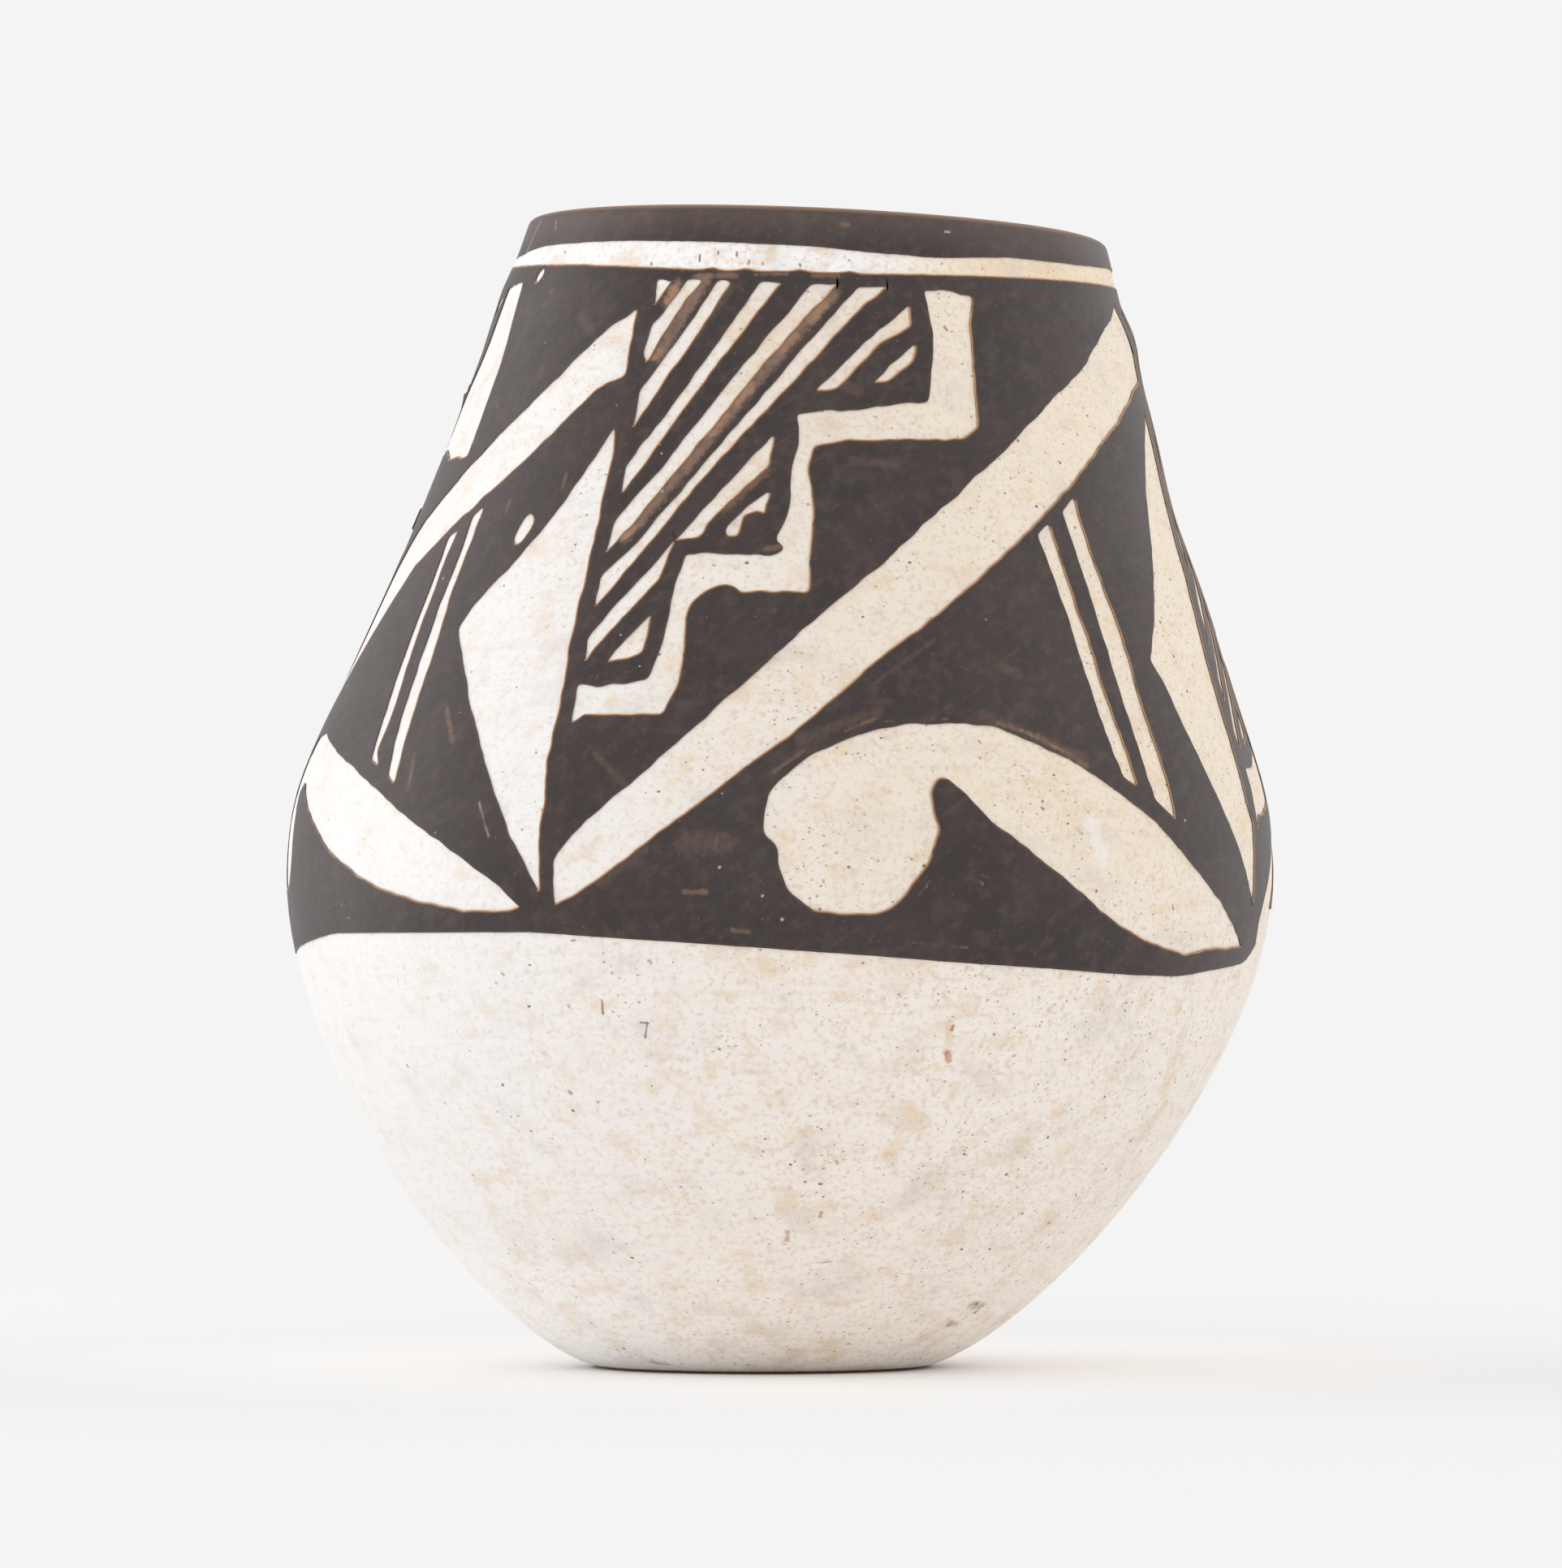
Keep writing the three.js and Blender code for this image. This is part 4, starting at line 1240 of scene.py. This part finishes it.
for specks, strength, tint in (
    (ochre, 0.3, (206, 160, 112)),
    (dust, 0.35, (150, 134, 118)),
    (fine, 0.6, (128, 114, 100)),
    (coarse, 0.8, (80, 70, 62)),
):
    tone = blend(tree, times(tree, specks, strength), tone, colour(*tint))
tone = stained(tree, place, tone, SLIP_MARKS)
rough_slip = sum_up(tree, "MULTIPLY_ADD", iron, 0.15, 0.45)
grainy = sum_up(tree, "ADD", mottle, times(tree, coarse, -1.2))
shade(tree, tone, rough_slip, grainy, 0.012, 0.5)
slip.data.materials.append(slip_material)

# %% [markdown]
# ## The finish of the paint
# Mineral paint is ground iron and manganese in plant juice. Where the brush was full it fires black, and
# where it ran dry it fires brown: whole strokes between the hatch lines, the ends of strokes, and a thin
# line along every edge of the black. Along the edges that face up and to the left that line is orange. The
# crest of the lip is worn to brown. Dust and pinholes show as pale pricks. As on the slip, noise makes the
# mottle and streaks put each mark where the jar has it.

# %% Marks in the paint
DARK_BROWN = (84, 64, 54)
THIN_BROWN = (112, 84, 64)
STROKE_BROWN = (130, 103, 87)
ORANGE = (172, 130, 98)
PALE = (206, 196, 184)
WORN_BROWN = (118, 92, 78)
PALE_BROWN = (176, 160, 146)
SCRATCH_GREY = (150, 140, 132)
PAINT_MARKS = [
    (DARK_BROWN, 0.85, [
        ((-14.4, 65), (-19.6, 62.2), 0.55), ((6.4, 59), (8.4, 58.6), 0.5), ((7.6, 54.4), (14, 54.2), 0.4),
        ((-54.5, 65.1), (-54, 65), 0.35), ((-55.6, 64.4), (-55.2, 64.3), 0.3),
        ((-50.4, 60.5), (-50.2, 60.2), 0.45), ((-10.4, 31.8), (-6.2, 31.7), 0.95),
        ((-48.6, 37.1), (-47.9, 35.1), 0.32), ((-20.3, 29.4), (-15.2, 31.4), 0.4),
        ((27.4, 42.2), (29.5, 41.8), 0.5), ((10.9, 41.2), (18.4, 43.7), 0.24),
        ((2, 37.8), (11, 39.4), 0.45), ((-22, 37), (-18, 35.2), 0.3), ((48, 41), (50, 37), 0.35),
        ((-36, 38), (-33, 35), 0.3), ((24, 39.3), (37, 36.9), 0.5), ((22, 34.5), (32, 30.4), 0.25),
        ((-44, 63.5), (-41, 62.8), 0.5),
    ]),
    (WORN_BROWN, 0.95, [
        ((-21, 65.6), (-17.8, 65.6), 0.26), ((-16.9, 65.65), (-13.6, 65.65), 0.3),
        ((-10, 65.75), (-4.4, 65.8), 0.2), ((0.4, 65.75), (4.9, 65.75), 0.2),
        ((8.6, 65.9), (30, 66.2), 0.14), ((-42, 66.3), (-24, 66), 0.14),
    ]),
    (THIN_BROWN, 0.95, [
        ((-10.6, 51.7), (-5.4, 53.9), 0.48), ((-4.4, 49.1), (-2.6, 49.2), 0.26),
        ((-10.6, 28.9), (-8.2, 28.9), 0.24), ((-5.2, 26.7), (-3.4, 26.6), 0.2),
        ((26, 38.8), (31.2, 38.05), 0.22), ((31.2, 38.05), (37.4, 36.4), 0.3),
        ((12, 38.85), (19.5, 39.05), 0.14), ((15.5, 28.7), (16.8, 29.6), 0.12),
        ((15.2, 26), (21.5, 25.7), 0.14), ((-45.6, 39.8), (-42.6, 37.9), 0.28),
        ((-48.3, 36.7), (-48, 35.5), 0.16), ((4.6, 69), (5.4, 69), 0.25), ((7.2, 38.3), (10.6, 39), 0.16),
        ((-0.9, 35.9), (2.4, 37.1), 0.18), ((-48, 52.5), (-47.9, 51.8), 0.15),
        ((-37.8, 53.9), (-37.8, 53.1), 0.18), ((-7.2, 31.5), (-7, 32), 0.14),
        ((22.9, 29.9), (23.6, 29.8), 0.13),
    ]),
    (STROKE_BROWN, 0.95, [
        ((-24.4, 65.1), (-25.7, 64.1), 0.5), ((-19.4, 65.4), (-21.9, 63.6), 0.62),
        ((-21.9, 63.6), (-25.6, 60.9), 0.62), ((3.8, 64.7), (-2.8, 61.9), 0.66),
        ((-2.8, 61.9), (-11.1, 57.8), 0.64), ((-11.1, 57.8), (-17, 54.4), 0.6),
        ((-17, 54.4), (-24.9, 49.9), 0.56), ((-74, 67.6), (-71.5, 69.5), 0.3),
    ]),
    (ORANGE, 0.6, [
        ((2.4, 63.9), (0.6, 63), 0.42), ((-2.2, 62), (-4, 61.2), 0.34), ((-9, 58.9), (-10.8, 58), 0.4),
        ((-12.4, 57.1), (-14.2, 56.1), 0.36), ((-24, 50.4), (-25, 49.9), 0.36),
        ((-24.6, 64.9), (-25.6, 64.2), 0.38), ((-25.4, 61.1), (-26.3, 60.7), 0.3),
        ((29, 38.4), (34.4, 37.2), 0.14), ((-60.8, 58.5), (-60.6, 58.4), 0.14),
    ]),
    (PALE_BROWN, 0.6, [
        ((-36.3, 34.2), (-34.5, 32.2), 0.15), ((-36.6, 36.2), (-36.2, 35.2), 0.08),
        ((22.6, 29.6), (23, 29.4), 0.1), ((-52.3, 60.2), (-52.1, 60.1), 0.1),
    ]),
    (SCRATCH_GREY, 0.8, [
        ((-60, 65.7), (-60, 64.9), 0.035), ((-60, 64.9), (-59.6, 63.7), 0.05),
        ((-59.6, 63.7), (-58.6, 61.4), 0.04), ((-58.6, 61.4), (-57, 59), 0.045),
        ((-57, 59), (-56.4, 57.8), 0.035), ((36.1, 69.3), (35.9, 68.4), 0.05),
    ]),
    (PALE, 1.0, [
        ((-31.5, 58), (-31.4, 57.95), 0.1), ((-30.9, 57.1), (-30.8, 57.08), 0.08),
        ((-32.9, 65.6), (-32.8, 65.55), 0.08), ((52.2, 64.65), (53, 64.44), 0.08),
        ((45.4, 62.05), (45.5, 62), 0.07), ((35.9, 62.6), (36, 62.55), 0.05),
        ((36.3, 58.95), (36.4, 58.9), 0.05), ((14.1, 41.45), (14.2, 41.4), 0.05),
        ((39.3, 39.2), (39.4, 39.15), 0.06), ((24.9, 69), (25.8, 69), 0.12),
        ((-5.3, 68.05), (-5.2, 68), 0.08), ((-63, 69.4), (-62.4, 69.1), 0.1),
        ((-62.3, 68.95), (-61.8, 68.8), 0.12), ((68.5, 32), (70.1, 31.3), 0.08),
        ((-59.3, 27.5), (-58.6, 27.5), 0.09), ((-63.7, 26.8), (-63.5, 26.6), 0.08),
        ((-63, 27.4), (-62.8, 27.3), 0.06),
    ]),
]

# %% The paint's finish
paint_material, tree = material("fired_mineral_paint")
place = add(tree, "ShaderNodeTexCoord").outputs["Object"]
apart = add(tree, "ShaderNodeSeparateXYZ", {0: place}).outputs
broad = cloud(tree, place, 4)
mottle = cloud(tree, place, 0.9, 5.0)
brushed = cloud(tree, place, 0.5, 4.0, stretch=(4, 4, 1), turn=(0, 35, 0))
ashy = cloud(tree, place, 1.5, 5.0)
tone = blend(tree, rising(tree, broad, 0.4, 0.7), colour(43, 32, 31), colour(54, 41, 38))
for noise, low, high, strength, tint in (
    (mottle, 0.48, 0.68, 0.6, (76, 57, 50)),
    (brushed, 0.52, 0.75, 0.5, (82, 62, 52)),
    (ashy, 0.52, 0.75, 0.5, (74, 68, 66)),
):
    tone = blend(tree, rising(tree, noise, low, high, strength), tone, colour(*tint))
tone = stained(tree, place, tone, PAINT_MARKS)
thin = add(tree, "ShaderNodeAttribute", attribute_name="thin").outputs["Fac"]
unsteady = rising(tree, cloud(tree, place, 1.6), 0.2, 0.5, 0.9)
brown_edge = times(tree, rising(tree, thin, 0.0, 0.7), unsteady)
tone = blend(tree, brown_edge, tone, colour(108, 78, 56))
orange_edge = times(tree, rising(tree, thin, 0.45, 0.9), unsteady)
tone = blend(tree, orange_edge, tone, colour(206, 146, 88))
crest = sum_up(tree, "MULTIPLY_ADD", apart["X"], LIP_SLOPE, apart["Z"])
for low, high, strength, tint in ((-2.6, -0.4, 0.2, (130, 112, 102)), (-0.3, 0.02, 0.8, (150, 106, 72))):
    worn = rising(tree, crest, (HEIGHT + low) * MM, (HEIGHT + high) * MM, strength)
    tone = blend(tree, worn, tone, colour(*tint))
pinprick = grains(tree, place, 1.2, 0.16, 0.09)
tone = blend(tree, times(tree, pinprick, 0.7), tone, colour(190, 180, 170))
dust = grains(tree, place, 0.4, 0.3, 0.2)
tone = blend(tree, times(tree, dust, 0.15), tone, colour(150, 140, 134))
rough_paint = sum_up(tree, "MULTIPLY_ADD", mottle, 0.2, 0.38)
shade(tree, tone, rough_paint, cloud(tree, place, 0.3), 0.01, 0.5)
field.data.materials.append(paint_material)
band.data.materials.append(paint_material)

# %% [markdown]
# ## The finish of the clay
# Inside the mouth the clay is bare. It was scraped smooth with a bit of gourd while it was leather-hard,
# which left level scratches, and it fired to a dull buff with its grit showing.

# %% The clay's finish
clay_material, tree = material("scraped_clay")
place = add(tree, "ShaderNodeTexCoord").outputs["Object"]
scraped = cloud(tree, place, 0.8, 4.0, stretch=(8, 8, 1))
tone = blend(tree, rising(tree, scraped, 0.35, 0.7), colour(196, 172, 144), colour(172, 146, 118))
tone = blend(tree, times(tree, grains(tree, place, 0.6, 0.4, 0.25), 0.5), tone, colour(110, 98, 86))
shade(tree, tone, sum_up(tree, "MULTIPLY_ADD", scraped, 0.1, 0.8), scraped, 0.05, 0.3)
for piece in clay_pieces:
    piece.data.materials.append(clay_material)

# %% [markdown]
# ## The studio
# The jar stood on a sheet of white paper that swept up behind it, so floor and background are one even
# near-white. Here the floor is a disc that fades out into a background of the same tone. Its paper is
# painted paler near the jar, a painted light that lightens the jar's shadow there. Most of the light
# is even and a little warm. Two soft boxes stand at the sides, a little behind the jar, and give the paint
# its pale sheen towards both edges. The left one is small and bright and the right one broad and soft. A
# third one, behind the camera and above it, fills in the front.

# %% Floor
FLOOR_CLEAR = 90  # mm of full floor round the jar
FLOOR_GONE = 240  # mm from the jar's middle to where the floor has faded out
bm = bmesh.new()
bmesh.ops.create_circle(bm, cap_ends=True, segments=96, radius=FLOOR_GONE * MM * 1.05)
floor = bpy.data.objects.new("floor", mesh_from("floor", bm))
bpy.context.scene.collection.objects.link(floor)
floor_material, tree = material("pale_floor")
place = add(tree, "ShaderNodeTexCoord").outputs["Object"]
from_jar = vector_step(tree, "LENGTH", place).outputs["Value"]
# Painted light: the paper is paler near the jar, which lightens the jar's shadow on it.
painted_fill_near_jar = rising(tree, from_jar, 60 * MM, 15 * MM)
paper_with_painted_fill = blend(tree, painted_fill_near_jar, colour(244, 245, 247), colour(253, 253, 253))
paper = add(tree, "ShaderNodeBsdfDiffuse", {"Color": paper_with_painted_fill})
clear = add(tree, "ShaderNodeBsdfTransparent")
fade = rising(tree, from_jar, FLOOR_CLEAR * MM, FLOOR_GONE * MM)
mixed = add(tree, "ShaderNodeMixShader", {0: fade, 1: paper.outputs[0], 2: clear.outputs[0]})
add(tree, "ShaderNodeOutputMaterial", {"Surface": mixed.outputs[0]})
floor.data.materials.append(floor_material)

# %% Even light
world = bpy.data.worlds.new("studio")
bpy.context.scene.world = world
world.use_nodes = True
tree = world.node_tree
tree.nodes.clear()
BACKGROUND = colour(244, 244, 244)
ray = add(tree, "ShaderNodeLightPath").outputs
mirrored = sum_up(tree, "ADD", ray["Is Glossy Ray"], ray["Is Transmission Ray"])
seen = sum_up(tree, "ADD", ray["Is Camera Ray"], mirrored)
light = blend(tree, seen, (0.87, 0.86, 0.85, 1), BACKGROUND)
sky = add(tree, "ShaderNodeBackground", {"Color": light, "Strength": 1.0})
add(tree, "ShaderNodeOutputWorld", {"Surface": sky.outputs[0]})


# %% Soft boxes
LAMP_AIM = Vector((0, 0, 35)) * MM  # the middle of the jar


def soft_box(name, place, size, power, tint):
    """A square lamp that faces the middle of the jar. Place and size in metres."""
    lamp = bpy.data.lights.new(name, "AREA")
    lamp.size = size
    lamp.energy = power
    lamp.color = tint
    box = bpy.data.objects.new(name, lamp)
    bpy.context.scene.collection.objects.link(box)
    box.location = place
    box.rotation_euler = (LAMP_AIM - Vector(place)).to_track_quat("-Z", "Y").to_euler()


soft_box("left_box", (-0.5, 0.1, 0.11), 0.5, 0.97, (1.0, 0.98, 0.96))
soft_box("right_box", (0.6, 0.15, 0.25), 1.2, 1.5, (1.0, 0.98, 0.96))
soft_box("front_card", (-0.1, -0.9, 0.22), 0.7, 0.8, (1.0, 0.99, 0.98))
print("lamps:", [lamp.name for lamp in bpy.data.lights])
